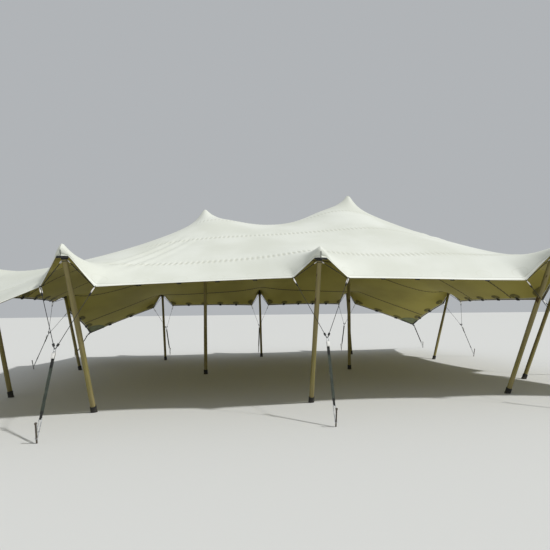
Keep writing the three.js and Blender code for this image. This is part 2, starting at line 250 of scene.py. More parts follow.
# %% Floor, sky and lamps
FLOOR_RADIUS = 400.0
FLOOR_SIDES = 96
FLOOR_DROP = 0.003
FLOOR_COLOUR = shade(206, 206, 202)
FLOOR_ROUGHNESS = 0.9
SKY_COLOUR = shade(222, 226, 230)
SKY_STRENGTH = 0.6
SUN_DIRECTION = Vector((-0.7, 0.36, -1.0))
SUN_STRENGTH = 2.7
SUN_ANGLE = math.radians(3.0)


def add_floor():
    mesh = bpy.data.meshes.new("floor")
    bm = bmesh.new()
    bmesh.ops.create_circle(bm, cap_ends=True, segments=FLOOR_SIDES, radius=FLOOR_RADIUS)
    bmesh.ops.translate(bm, verts=bm.verts, vec=(0, 0, -FLOOR_DROP))
    bm.to_mesh(mesh)
    bm.free()
    mesh.materials.append(Finish("studio_floor").surface(FLOOR_COLOUR, FLOOR_ROUGHNESS))
    floor = put("floor", mesh)


def add_sky():
    world = bpy.data.worlds.new("sky")
    world.use_nodes = True
    background = world.node_tree.nodes["Background"]
    background.inputs["Color"].default_value = (*SKY_COLOUR, 1)
    background.inputs["Strength"].default_value = SKY_STRENGTH
    bpy.context.scene.world = world


def add_sun():
    lamp = bpy.data.lights.new("sun", "SUN")
    lamp.energy = SUN_STRENGTH
    lamp.angle = SUN_ANGLE
    sun = put("sun", lamp)
    sun.rotation_mode = "QUATERNION"
    sun.rotation_quaternion = SUN_DIRECTION.to_track_quat("-Z", "Y")


add_floor()
add_sky()
add_sun()
bpy.context.scene.view_settings.view_transform = "Standard"
print("floor radius in metres:", FLOOR_RADIUS)

# %% [markdown]
# ## The shape of the cloth
#
# A stretched cloth has no shape of its own: tension gives it one. A net of nodes stands for the
# cloth. Some nodes are held where poles and corner straps hold the cloth, and each free node rests
# at the weighted mean of its neighbours, where the stiffer lines pull harder. Such a net is a set
# of linear equations, which numpy solves at once. The values are the ones that shape the solids.

# %% Sizes of the cloth and its net
EYE_PITCH = 0.7
EYES_LONG = 22
EYES_SHORT = 15
CELLS_PER_EYE = 2
CELL = EYE_PITCH / CELLS_PER_EYE
CELLS_LONG = EYES_LONG * CELLS_PER_EYE
CELLS_SHORT = EYES_SHORT * CELLS_PER_EYE
CLOTH_LENGTH = EYES_LONG * EYE_PITCH
CLOTH_WIDTH = EYES_SHORT * EYE_PITCH
PANEL_WIDTH = 1.72
CORNER_X = 7.4
CORNER_Y = 5.55
CORNER_HEIGHT = 1.04
BACK_RIGHT_CORNER_HEIGHT = 1.17
CENTRE_POLE_X = 2.35
CENTRE_FOOT_X = {"centre_left": -2.29, "centre_right": 2.22}
PEAK_HEIGHTS = {"centre_left": 5.07, "centre_right": 5.68}

# Each edge pole: its eye, counted along both sides, its apex and its foot. Then come the two
# neighbouring eyes, which the guy pulls down, as distances from the apex: along the hem, inwards and
# down. The last two are how strongly the cloth is drawn towards it and where its stake stands along
# the hem.
EdgePole = namedtuple("EdgePole", "eye apex foot v ridge stake")
EDGE_POLES = {
    "front_left": EdgePole(
        (4, 0), (-4.45, -5.3, 2.985), (-4.2, -4.15),
        ((-0.38, 0.19, 0.694), (0.48, 0.19, 0.694)), 0.0, -4.45,
    ),
    "front_middle": EdgePole(
        (11, 0), (-0.08, -5.3, 3.0), (-0.03, -4.15),
        ((-0.47, 0.19, 0.551), (0.58, 0.19, 0.551)), 0.0, -0.04,
    ),
    "front_right": EdgePole(
        (18, 0), (4.765, -5.3, 3.09), (4.385, -4.15),
        ((-0.565, 0.19, 0.68), (0.565, 0.19, 0.68)), 7.8, 4.65,
    ),
    "back_left": EdgePole(
        (4, 15), (-4.37, 5.25, 2.815), (-4.0, 3.9),
        ((-0.325, 0.19, 0.735), (0.49, 0.19, 0.65)), 0.0, -4.07,
    ),
    "back_middle": EdgePole(
        (11, 15), (-0.1, 5.25, 2.879), (-0.15, 4.15),
        ((-0.38, 0.19, 0.721), (0.38, 0.19, 0.721)), 0.0, -0.1,
    ),
    "back_right": EdgePole(
        (18, 15), (4.0, 5.25, 2.93), (3.75, 4.15),
        ((-0.48, 0.19, 0.755), (0.33, 0.19, 0.755)), 0.0, 3.86,
    ),
    "left_front": EdgePole(
        (0, 4), (-7.25, -2.3, 2.999), (-6.5, -2.4),
        ((-0.45, 0.19, 0.747), (0.45, 0.19, 0.747)), 6.0, -2.3,
    ),
    "left_back": EdgePole(
        (0, 11), (-7.27, 2.3, 2.655), (-6.45, 1.75),
        ((-0.45, -0.17, 0.39), (0.45, 0.0, 0.72)), 0.0, 2.3,
    ),
    "right_front": EdgePole(
        (22, 4), (7.7, -2.68, 3.342), (6.1, -2.65),
        ((-0.45, 0.19, 0.9), (0.72, 0.19, 1.24)), 0.0, -2.5,
    ),
    "right_back": EdgePole(
        (22, 11), (7.45, 2.5, 2.737), (6.15, 1.75),
        ((-0.68, 0.0, 0.56), (0.42, 0.05, 0.62)), 0.0, 2.2,
    ),
}
HOOD_REACH = 0.04
HOOD_DROP = 0.21
HOOD_FLAT = 0.155
HOOD_FADE = 1.5
HEM_PULL_IN_PLAN = 20
HEM_PULL_IN_HEIGHT = 104
RIDGE_WIDTH = 0.768
PEAK_TIGHTNESS = 0.05
PEAK_CORE = 0.15
print("flat cloth in metres:", round(CLOTH_LENGTH, 2), "by", round(CLOTH_WIDTH, 2))

# %% [markdown]
# Each edge pole holds one node just inside the hem, where its head stands, and the eye in front of
# it, which hangs over the head as a hood. Its guy pulls the eyes on both sides outwards and down. With
# the corners and the two peaks, these are all the places where the cloth is held.

# %% Hold the nodes that poles and corners hold
net = np.zeros((CELLS_LONG + 1, CELLS_SHORT + 1, 3))
held = np.zeros((CELLS_LONG + 1, CELLS_SHORT + 1), bool)
v_nodes = []
head_nodes = []
pole_eyes = []


def hold(i, j, x, y, z):
    net[i, j] = (x, y, z)
    held[i, j] = True


def outward_of(eye):
    """The direction that points out of the cloth at an eye of its hem."""
    if eye[1] == 0:
        return (0, -1)
    if eye[1] == EYES_SHORT:
        return (0, 1)
    return (-1 if eye[0] == 0 else 1, 0)


def hold_edge_pole(pole):
    out_x, out_y = outward_of(pole.eye)
    along_x, along_y = abs(out_y), abs(out_x)
    i, j = pole.eye[0] * CELLS_PER_EYE, pole.eye[1] * CELLS_PER_EYE
    x, y, z = pole.apex
    hold(i - out_x, j - out_y, x, y, z)
    hold(i, j, x + out_x * HOOD_REACH, y + out_y * HOOD_REACH, z - HOOD_DROP)
    head_nodes.append((i - out_x, j - out_y))
    pole_eyes.append((i, j))
    for side, (aside, inset, drop) in zip((-1, 1), pole.v):
        eye_x = x + along_x * aside - out_x * inset
        eye_y = y + along_y * aside - out_y * inset
        node = (i + side * along_x * CELLS_PER_EYE, j + side * along_y * CELLS_PER_EYE)
        hold(*node, eye_x, eye_y, z - drop)
        v_nodes.append(node)


for i in (0, CELLS_LONG):
    for j in (0, CELLS_SHORT):
        side_x, side_y = (1 if i else -1), (1 if j else -1)
        height = BACK_RIGHT_CORNER_HEIGHT if i and j else CORNER_HEIGHT
        hold(i, j, side_x * CORNER_X, side_y * CORNER_Y, height)
for pole in EDGE_POLES.values():
    hold_edge_pole(pole)
peak_nodes = []
for name, side in (("centre_left", -1), ("centre_right", 1)):
    column = round((side * CENTRE_POLE_X / CORNER_X + 1) * CLOTH_LENGTH / 2 / CELL)
    hold(column, CELLS_SHORT // 2, side * CENTRE_POLE_X, 0, PEAK_HEIGHTS[name])
    peak_nodes.append((column, CELLS_SHORT // 2))
print("held nodes:", int(held.sum()), "of", held.size)

# %% [markdown]
# A link between two neighbouring nodes pulls as strongly as its weight says. The hem pulls much
# harder than the cloth, and for the height the cloth pulls a little harder near the peaks and, at two
# of the poles, along the line to the peak. The places on the ground are solved first, then the height.


# %% Bring the net to rest
def distance_to_segment(x, y, start, end):
    dx, dy = end[0] - start[0], end[1] - start[1]
    share = np.clip(((x - start[0]) * dx + (y - start[1]) * dy) / (dx * dx + dy * dy), 0, 1)
    return np.hypot(x - start[0] - share * dx, y - start[1] - share * dy)


def plan_pull(x, y, on_hem):
    """How strongly a link of the net pulls sideways: the same everywhere, but harder in the hem."""
    return np.where(on_hem, HEM_PULL_IN_PLAN, 1.0)


def height_pull(x, y, on_hem):
    """How strongly a link of the net keeps its height."""
    left, right = (-CENTRE_POLE_X, 0), (CENTRE_POLE_X, 0)
    to_peak = np.minimum(np.hypot(x - left[0], y), np.hypot(x - right[0], y))
    pull = (to_peak + PEAK_CORE) ** -PEAK_TIGHTNESS
    for pole in EDGE_POLES.values():
        peak = left if pole.apex[0] < 0 else right
        spread = distance_to_segment(x, y, peak, pole.apex) / RIDGE_WIDTH
        pull = pull * (1 + pole.ridge * np.exp(-(spread**2)))
    return np.where(on_hem, HEM_PULL_IN_HEIGHT, 1.0) * pull


def relax(axes, pull_of):
    """Moves every free node to the weighted mean of its neighbours."""
    number = np.arange(held.size).reshape(held.shape)
    pull = np.zeros((held.size, held.size))
    for near, far, axis in ((np.s_[:-1, :], np.s_[1:, :], 1), (np.s_[:, :-1], np.s_[:, 1:], 0)):
        middle = (net[near] + net[far]) / 2
        line = np.arange(middle.shape[axis])
        hem = (line == 0) | (line == line[-1])
        on_hem = np.broadcast_to(hem if axis == 1 else hem[:, None], middle.shape[:2])
        weight = pull_of(middle[..., 0], middle[..., 1], on_hem)
        pull[number[near], number[far]] = weight
        pull[number[far], number[near]] = weight
    balance = np.diag(pull.sum(1)) - pull
    free, kept = ~held.ravel(), held.ravel()
    points = net.reshape(-1, 3)
    given = pull[np.ix_(free, kept)] @ points[np.ix_(kept, axes)]
    points[np.ix_(free, axes)] = np.linalg.solve(balance[np.ix_(free, free)], given)


relax([0, 1], plan_pull)
relax([2], height_pull)
print("lowest and highest node:", net[..., 2].min().round(3), net[..., 2].max().round(3))

# %% [markdown]
# ## A smooth cloth through the net
#
# The net's cells are 35 cm wide, which is coarse to look at. Between its nodes the cloth is bent
# smoothly, each cell as a patch that leaves every node in the mean direction of the cells on both
# sides. Only at the eyes on and beside each edge pole does the hem turn sharply, so there the two
# directions stay apart. Towards a pole's head the cloth steepens like a logarithm, down to the round
# cap. That part is taken off the net first and added again afterwards, at its full sharpness.

# %% The rounded tips over the poles
PEAK_ROUNDING = 0.1
HEAD_ROUNDING = 0.08
peaks = []


def peak_heights(u, v):
    """The steep part of the cloth's height over the poles."""
    height = np.zeros(np.shape(u))
    for peak_u, peak_v, strength, rounding in peaks:
        reach = np.hypot(u - peak_u, v - peak_v)
        height = height - strength * np.log(np.hypot(reach, rounding) / CELL)
    return height


for nodes, rounding in ((peak_nodes, PEAK_ROUNDING), (head_nodes, HEAD_ROUNDING)):
    for i, j in nodes:
        around = (net[i - 1, j, 2] + net[i + 1, j, 2] + net[i, j - 1, 2] + net[i, j + 1, 2]) / 4
        strength = (net[i, j, 2] - around) / math.log(math.hypot(CELL, rounding) / rounding)
        peaks.append((i * CELL, j * CELL, strength, rounding))
net_lines = (np.arange(CELLS_LONG + 1) * CELL, np.arange(CELLS_SHORT + 1) * CELL)
flat_u, flat_v = np.meshgrid(*net_lines, indexing="ij")
net[..., 2] -= peak_heights(flat_u, flat_v)
print("strength of the tips:", [round(float(peak[2]), 3) for peak in peaks])

# %% [markdown]
# At each node the cloth leaves in the mean direction of the cells before and after it. At a sharp
# turn of the hem both directions are kept.


# %% Directions at the nodes
def slopes(axis):
    """The directions before and after each node along one axis, per cell."""
    step = np.diff(net, axis=axis)
    first, last = np.take(step, [0], axis), np.take(step, [-1], axis)
    before, after = np.concatenate([first, step], axis), np.concatenate([step, last], axis)
    mean = (before + after) / 2
    return before, after, mean


before_u, after_u, mean_u = slopes(0)
before_v, after_v, mean_v = slopes(1)
slope_u, slope_v = [mean_u, mean_u.copy()], [mean_v, mean_v.copy()]
for i, j in v_nodes + pole_eyes:
    sides = (slope_u, before_u, after_u) if j in (0, CELLS_SHORT) else (slope_v, before_v, after_v)
    sides[0][0][i, j], sides[0][1][i, j] = sides[1][i, j], sides[2][i, j]
twist = (np.gradient(mean_u, axis=1) + np.gradient(mean_v, axis=0)) / 2
print("sharp turns of the hem:", len(v_nodes) + len(pole_eyes))

# %% [markdown]
# With points and directions at its four corners, each cell is a smooth patch. The tips over the poles
# come back on top of that, and the hem beside each edge pole is lifted, because it runs level there.


# %% Points of the smooth cloth
def hood_heights(u, v):
    """Lifts the hem beside each edge pole, so that it runs level over the pole's cap."""
    height = np.zeros(np.shape(u))
    for pole in EDGE_POLES.values():
        out_y = outward_of(pole.eye)[1]
        off_u, off_v = u - pole.eye[0] * EYE_PITCH, v - pole.eye[1] * EYE_PITCH
        along, inset = (off_u, np.abs(off_v)) if out_y else (off_v, np.abs(off_u))
        (_, _, drop_before), (_, _, drop_after) = pole.v
        drop = np.where(along < 0, drop_before, drop_after)
        aside = np.abs(along)
        level = aside / EYE_PITCH
        straight = (EYE_PITCH - aside) * HOOD_FLAT / (EYE_PITCH * (EYE_PITCH - HOOD_FLAT))
        share = np.clip(np.minimum(level, straight), 0, 1)
        height = height + (drop - HOOD_DROP) * share * np.clip(1 - inset / CELL, 0, 1) ** HOOD_FADE
    return height


def basis(t):
    """The four Hermite blends at t: start and end point, start and end direction."""
    start = (2 * t**3 - 3 * t**2 + 1, t**3 - 2 * t**2 + t)
    end = (3 * t**2 - 2 * t**3, t**3 - t**2)
    return start, end


def smooth_net(u, v):
    """Points of the cloth at flat distances u and v from its front left corner."""
    i = np.clip(np.floor(u / CELL).astype(int), 0, CELLS_LONG - 1)
    j = np.clip(np.floor(v / CELL).astype(int), 0, CELLS_SHORT - 1)
    along_u, along_v = basis(u / CELL - i), basis(v / CELL - j)
    point = 0
    for a in (0, 1):
        for b in (0, 1):
            node = (i + a, j + b)
            hu, gu = (part[:, None] for part in along_u[a])
            hv, gv = (part[:, None] for part in along_v[b])
            point = point + hu * hv * net[node] + gu * hv * slope_u[1 - a][node]
            point = point + hu * gv * slope_v[1 - b][node] + gu * gv * twist[node]
    point[:, 2] += peak_heights(u, v) + hood_heights(u, v)
    return point


middle = smooth_net(np.array([CLOTH_LENGTH / 2]), np.array([CLOTH_WIDTH / 2]))
print("middle of the cloth:", middle.round(3))

# %% [markdown]
# ## What tension does on a small scale
#
# Where two panels meet, the stitched seam stretches less than the cloth, so the cloth beside it
# gathers into small puckers that come and go along the seam. Long folds run from a pole's head
# towards a peak, where the pull is strongest, and a shallow crease runs beside the hem near each
# edge pole. All of it is a small height on top of the smooth cloth, so it is added up here as one
# function of the flat place on the cloth.

# %% Seams, puckers and folds
SEAM_COUNT = 6
MIDDLE_SEAM = (SEAM_COUNT - 1) / 2
SEAMS = [CLOTH_WIDTH / 2 + PANEL_WIDTH * (number - MIDDLE_SEAM) for number in range(SEAM_COUNT)]
PUCKER_PITCH = EYE_PITCH / 6
PUCKER_DEPTH = 0.006
PUCKER_REACH = 0.085
PUCKER_LEAN = 0.5
PUCKER_MEAN = 0.75
PUCKER_CHANGE = 0.25
PUCKER_CHANGE_PER_METRE = 1.7
PUCKER_CHANGE_PER_SEAM = 2.1
HEM_CREASE_INSET = 0.085
HEM_CREASE_DEPTH = 0.013
HEM_CREASE_WIDTH = 0.025
HEM_CREASE_REACH = 0.8

# Folds: start and end on the flat cloth, the distance between neighbouring creases, their height
# and how many there are side by side.
FOLDS = [
    ((3.4, 0.5), (4.9, 3.1), 0.3, 0.019, 3),
    ((10.9, 3.7), (13.8, 2.7), 0.26, 0.02, 2),
    ((9.3, 1.9), (11.2, 1.2), 0.3, 0.006, 3),
]


def puckers(u, v):
    """Small waves along every seam, which fade away on both sides of it."""
    height = 0
    lean = PUCKER_LEAN * (u / CLOTH_LENGTH - 0.5)
    for number, seam in enumerate(SEAMS):
        off = v - seam
        wave = np.cos(2 * math.pi * (u + lean * off) / PUCKER_PITCH)
        change = np.sin(PUCKER_CHANGE_PER_METRE * u + PUCKER_CHANGE_PER_SEAM * number)
        strength = PUCKER_MEAN + PUCKER_CHANGE * change
        height = height + PUCKER_DEPTH * strength * wave * np.exp(-((off / PUCKER_REACH) ** 2))
    return height


def folds(u, v):
    """Groups of long parallel creases, highest halfway along."""
    height = np.zeros_like(u)
    for (start_u, start_v), (end_u, end_v), spacing, depth, count in FOLDS:
        length = math.hypot(end_u - start_u, end_v - start_v)
        du, dv = (end_u - start_u) / length, (end_v - start_v) / length
        along = ((u - start_u) * du + (v - start_v) * dv) / length
        across = (v - start_v) * du - (u - start_u) * dv
        taper = np.clip(along, 0, 1) * np.clip(1 - along, 0, 1) * 4
        inside = np.exp(-((across / (spacing * count / 2)) ** 4))
        height = height + depth * taper * inside * np.cos(2 * math.pi * across / spacing)
    return height


def hem_creases(u, v):
    """A shallow crease beside the hem, near each edge pole."""
    height = np.zeros_like(u)
    for pole in EDGE_POLES.values():
        out_y = outward_of(pole.eye)[1]
        pole_u, pole_v = pole.eye[0] * EYE_PITCH, pole.eye[1] * EYE_PITCH
        inset = np.abs(v - pole_v) if out_y else np.abs(u - pole_u)
        aside = u - pole_u if out_y else v - pole_v
        near = np.exp(-((aside / HEM_CREASE_REACH) ** 4))
        trough = np.exp(-(((inset - HEM_CREASE_INSET) / HEM_CREASE_WIDTH) ** 2))
        height = height - HEM_CREASE_DEPTH * near * trough
    return height


def relief(u, v):
    return puckers(u, v) + folds(u, v) + hem_creases(u, v)


along_seam = np.linspace(0, 1, 50)
deepest = np.abs(puckers(along_seam, np.full_like(along_seam, SEAMS[0]))).max()
print("deepest pucker in millimetres:", round(1000 * deepest, 1))

# %% [markdown]
# ## Places on the cloth
#
# The hem, tapes, patches and straps lie a few millimetres above or below the cloth. Each of their
# points is moved off the cloth at a right angle to it, so they follow it everywhere. Past its edges
# the cloth is taken to go on straight.

# %% Points on, above and below the cloth
REACH = 0.01


def cloth(u, v, lift):
    """Points at a height above the cloth, which goes on straight past its edges."""
    inner_u, inner_v = np.clip(u, 0, CLOTH_LENGTH), np.clip(v, 0, CLOTH_WIDTH)
    low_u, high_u = np.maximum(inner_u - REACH, 0), np.minimum(inner_u + REACH, CLOTH_LENGTH)
    low_v, high_v = np.maximum(inner_v - REACH, 0), np.minimum(inner_v + REACH, CLOTH_WIDTH)
    run_u = (smooth_net(high_u, inner_v) - smooth_net(low_u, inner_v)) / (high_u - low_u)[:, None]
    run_v = (smooth_net(inner_u, high_v) - smooth_net(inner_u, low_v)) / (high_v - low_v)[:, None]
    normal = np.cross(run_u, run_v)
    normal /= np.linalg.norm(normal, axis=1)[:, None]
    past = run_u * (u - inner_u)[:, None] + run_v * (v - inner_v)[:, None]
    return smooth_net(inner_u, inner_v) + past + normal * (lift + relief(inner_u, inner_v))[:, None]


def cloth_point(u, v, lift=0.0):
    """One point of the cloth, as a vector."""
    return Vector(cloth(np.array([u]), np.array([v]), np.array([lift]))[0])


print("hem at the front middle pole:", tuple(round(x, 3) for x in cloth_point(CLOTH_LENGTH / 2, 0)))

# %% [markdown]
# ## Pieces from parts
#
# Every part is shaped where that is easy: cloth parts flat, as they lie on a cutting table, and
# poles, ropes and straps straight, along their own Z. Those coordinates stay with the part as an
# attribute, so that a finish can follow the weave or the grain, and then the part is put in its
# place. A piece joins such parts into one mesh.

# %% Join parts into pieces
SHARP_ANGLE = math.radians(38)
TINY = 1e-6


class Piece:
    """A piece of the tent, joined from parts that are shaped flat or straight."""

    def __init__(self):
        self.whole = bmesh.new()

    def add(self, part, place, finish=0):
        """Keeps the part's own coordinates, puts it in its place and joins it on."""
        layer = part.verts.layers.float_vector.new(LAID)
        bmesh.ops.recalc_face_normals(part, faces=part.faces)
        for vert in part.verts:
            vert[layer] = vert.co
        placed = place(np.array([vert.co for vert in part.verts]))
        for vert, point in zip(part.verts, placed):
            vert.co = point
        for face in part.faces:
            face.material_index = finish
        mesh = bpy.data.meshes.new("part")
        part.to_mesh(mesh)
        part.free()
        self.whole.from_mesh(mesh)
        bpy.data.meshes.remove(mesh)

    def finish(self, name, materials, slot=None, replaced=()):
        """Makes the object, with smooth faces and sharp edges where it turns sharply."""
        for face in self.whole.faces:
            face.smooth = True
        for edge in self.whole.edges:
            edge.smooth = edge.calc_face_angle(0) < SHARP_ANGLE
        mesh = bpy.data.meshes.new(name)
        self.whole.to_mesh(mesh)
        self.whole.free()
        for material in materials:
            mesh.materials.append(material)
        made = put(name, mesh)
        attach(made, "root")
        if replaced:
            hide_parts(*replaced)
        return made


def flat_grid(first, second):
    """A flat grid whose lines lie at the given distances along X and Y."""
    part = bmesh.new()
    columns, rows = len(first) - 1, len(second) - 1
    bmesh.ops.create_grid(part, x_segments=columns, y_segments=rows, size=0.5)
    for vert in part.verts:
        i, j = round((vert.co.x + 0.5) * columns), round((vert.co.y + 0.5) * rows)
        vert.co = (first[i], second[j], 0)
    return part


def filled(stops, widest):
    """The stops, with more lines between them where a gap is wider than widest."""
    lines = [stops[0]]
    for low, high in zip(stops, stops[1:]):
        count = math.ceil((high - low) / widest - TINY)
        lines += [low + (high - low) * step / count for step in range(1, count + 1)]
    return lines


def move(part, x, y, z):
    bmesh.ops.translate(part, verts=part.verts, vec=(x, y, z))


def weld(part, gap=TINY):
    """Joins points that lie closer together than a gap."""
    bmesh.ops.remove_doubles(part, verts=part.verts, dist=gap)


def thicken(part, thickness, top=0.0):
    """Gives a flat part a thickness, with its upper side at a height."""
    bmesh.ops.solidify(part, geom=part.faces[:], thickness=thickness)
    lowest = min(vert.co.z for vert in part.verts)
    move(part, 0, 0, top - thickness - lowest)


def on_cloth(origin=(0, 0), along=(1, 0), inward=(0, 1)):
    """Puts a flat part on the cloth: X runs along the hem there, Y inwards and Z off the cloth."""

    def place(own):
        u = origin[0] + own[:, 0] * along[0] + own[:, 1] * inward[0]
        v = origin[1] + own[:, 0] * along[1] + own[:, 1] * inward[1]
        return cloth(u, v, own[:, 2])

    return place


print("sharp edges above degrees:", round(math.degrees(SHARP_ANGLE)))

# %% [markdown]
# ## Finishes of the cloth
#
# The real cloth is a knitted stretch fabric with a smooth weatherproof coat: cream outside, with a
# soft gloss, and olive inside. The knit is far finer than a render shows, so it is a faint bump. The
# seams' two rows of thread, the small gathers beside them and the outline of the patches that show
# through from below are laid out in flat cloth coordinates. The hollows of the gathers are darkened
# with painted shade, in the thread's colour.

# %% Cream outside and olive inside
CREAM = shade(219, 221, 211)
CREAM_SHADED = shade(210, 212, 200)
CREAM_THREAD_AND_SHADE = shade(196, 197, 180)
HEM_CREAM = shade(228, 229, 218)
OLIVE = shade(174, 163, 82)
OLIVE_DARK = shade(160, 149, 72)
OLIVE_THREAD_AND_SHADE = shade(62, 55, 30)
CREAM_ROUGHNESS = 0.55
OLIVE_ROUGHNESS = 0.7
ROUGHNESS_CHANGE = 0.2
SATIN = {"Specular IOR Level": 0.3}
DULL = {"Specular IOR Level": 0.15}
CLOTH_CLOUDS = (0.7, 0.7, 0.0)
CLOTH_BUMP = 0.0006
THREAD_ROW = 0.009
THREAD_EDGE = (0.001, 0.003)
STITCH = 0.006
KNIT = 0.004
SEAM_LINE = (0.001, 0.004)
SEAM_GROOVE = (0.0, 0.004)
GATHER_LEAN = 2.0
GATHER_START = 0.02
GATHER_STRENGTH = 1.6
CREAM_GATHER_REACH = 0.12
OLIVE_GATHER_REACH = 0.06
PATCH_HALF_WIDTH = 0.14
PATCH_HALF_DEPTH = 0.095
PATCH_INSET = 0.15
PATCH_OUTLINE = (0.004, 0.014)

# How strongly each mark takes the thread's colour, and its height, where a row of thread is 1.
# The gathers take that dark colour as painted shade in their hollows.
OUTLINE_MARK, SEAM_MARK, GATHER_PAINTED_SHADE = 0.2, 0.6, 0.8
KNIT_RELIEF, SEAM_RELIEF, GATHER_RELIEF = 0.15, 2, 7


def hem_distances(u, v):
    """Wires for the distance from the front or back hem and from the hem at either end."""
    return v.at_most(CLOTH_WIDTH - v), u.at_most(CLOTH_LENGTH - u)


def oval_reach(x, y, half_width, half_depth):
    """How far out a place lies from the middle of an oval, 1 on its edge."""
    across, up = x / half_width, y / half_depth
    return (across * across + up * up).root()


def patch_outline(aside, inset):
    """A thin oval beside the nearest eye."""
    oval = oval_reach(aside, inset - PATCH_INSET, PATCH_HALF_WIDTH, PATCH_HALF_DEPTH)
    return ((oval - 1.0).size() * PATCH_HALF_DEPTH).fades(*PATCH_OUTLINE)


def stitches(along):
    """Short dashes of thread, one to each stitch."""
    return (along.from_nearest(STITCH) - STITCH / 5).size().fades(0.0, 0.003)


def woven(x, y, pitch_x, pitch_y):
    """A fine grid of bumps."""
    return (x * (2 * math.pi / pitch_x)).sine() * (y * (2 * math.pi / pitch_y)).sine()


def uneven(roughness, cloud):
    """A roughness that changes a little with the clouds."""
    return roughness + (cloud - 0.5) * ROUGHNESS_CHANGE


def gathers_beside(u, past_seam, reach, cloud):
    """Small leaning gathers along a seam, which fade away on both sides of it."""
    leaning_u = u + (u / CLOTH_LENGTH - 0.5) * past_seam * GATHER_LEAN
    wave = (leaning_u * (2 * math.pi / PUCKER_PITCH) - math.pi / 2).sine()
    return wave * past_seam.size().fades(GATHER_START, reach) * (cloud * GATHER_STRENGTH)


def cloth_finish(name, light, dark, thread, roughness, gather_reach):
    """One side of the cloth, with its seams, gathers with painted shade in their hollows, and the
    outline of its patches.
    """
    finish = Finish(name)
    vector, u, v, _ = finish.laid()
    cloud, colour = finish.clouded(finish.stretched(vector, CLOTH_CLOUDS), 1.0, 4.0, light, dark)
    past_seam = (v - SEAMS[0]).past_nearest(PANEL_WIDTH)
    seam = past_seam.size()
    rows = (seam - THREAD_ROW).size().fades(*THREAD_EDGE) * stitches(u)
    gathers = gathers_beside(u, past_seam, gather_reach, cloud)
    from_long_hem, from_end = hem_distances(u, v)
    outline = patch_outline(u.from_nearest(EYE_PITCH), from_long_hem)
    outline = outline.at_least(patch_outline(v.from_nearest(EYE_PITCH), from_end))
    marks = rows.at_least(outline * OUTLINE_MARK).at_least(seam.fades(*SEAM_LINE) * SEAM_MARK)
    # The thread's colour, taken up in the hollows of the gathers, is painted shade there.
    colour = finish.mixed(marks.at_least(gathers * GATHER_PAINTED_SHADE), colour, thread)
    height = woven(u, v, KNIT, KNIT) * KNIT_RELIEF + outline - rows
    height = height - seam.fades(*SEAM_GROOVE) * SEAM_RELIEF - gathers * GATHER_RELIEF
    return finish.surface(colour, uneven(roughness, cloud), height, CLOTH_BUMP, SATIN)


cream_looks = (CREAM, CREAM_SHADED, CREAM_THREAD_AND_SHADE, CREAM_ROUGHNESS, CREAM_GATHER_REACH)
olive_looks = (OLIVE, OLIVE_DARK, OLIVE_THREAD_AND_SHADE, OLIVE_ROUGHNESS, OLIVE_GATHER_REACH)
cream_cloth = cloth_finish("cream_cloth", *cream_looks)
olive_cloth = cloth_finish("olive_cloth", *olive_looks)
print("cloth finishes:", cream_cloth.name, olive_cloth.name)

# %% [markdown]
# ## The cloth itself
#
# One grid covers the whole cloth, with its lines close together at the seams, the hem and the
# peaks, where the cloth bends most, and further apart between them. Each of its points goes to its
# place on the stretched cloth. A Solidify modifier then gives both sides their own finish.

# %% The canopy
CLOTH_THICKNESS = 0.005
COLUMN_STEP = EYE_PITCH / 18
WIDEST_ROW = 0.13
ROWS_BESIDE_SEAM = (0.02, 0.06, 0.12)
ROWS_BESIDE_PEAKS = (0, 0.015, 0.035, 0.06, 0.09)
ROWS_BESIDE_HEM = (0, 0.02, 0.06, 0.085, 0.11, 0.14, 0.2, 0.26, 0.35)


def cloth_rows():
    """Where the grid's rows lie across the cloth."""
    stops = {off for off in ROWS_BESIDE_HEM} | {CLOTH_WIDTH - off for off in ROWS_BESIDE_HEM}
    lines = [(CLOTH_WIDTH / 2, ROWS_BESIDE_PEAKS)] + [(seam, ROWS_BESIDE_SEAM) for seam in SEAMS]
    for line, offs in lines:
        stops |= {line + side * off for off in offs for side in (-1, 1)}
    return filled(sorted(stops), WIDEST_ROW)


def add_canopy():
    columns = filled([0, CLOTH_LENGTH], COLUMN_STEP)
    canopy = Piece()
    canopy.add(flat_grid(columns, cloth_rows()), on_cloth())
    nodes = [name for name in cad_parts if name.startswith("canopy_")]
    made = canopy.finish("canopy", [cream_cloth, olive_cloth], "cloth", nodes)
    shell = made.modifiers.new("thickness", "SOLIDIFY")
    shell.thickness = CLOTH_THICKNESS
    shell.offset = 0
    shell.material_offset = 1
    shell.material_offset_rim = 0
    return made


canopy = add_canopy()
print("canopy faces on one side:", len(canopy.data.polygons))

# %% [markdown]
# ## The hem
#
# The real hem is folded over a dark webbing, which carries the pull of the guys from eye to eye.
# Its cross-section wraps round the cloth's edge. The strip is laid out straight along one side of the
# cloth with mitred ends, so four of them meet at the corners, where their points are merged.

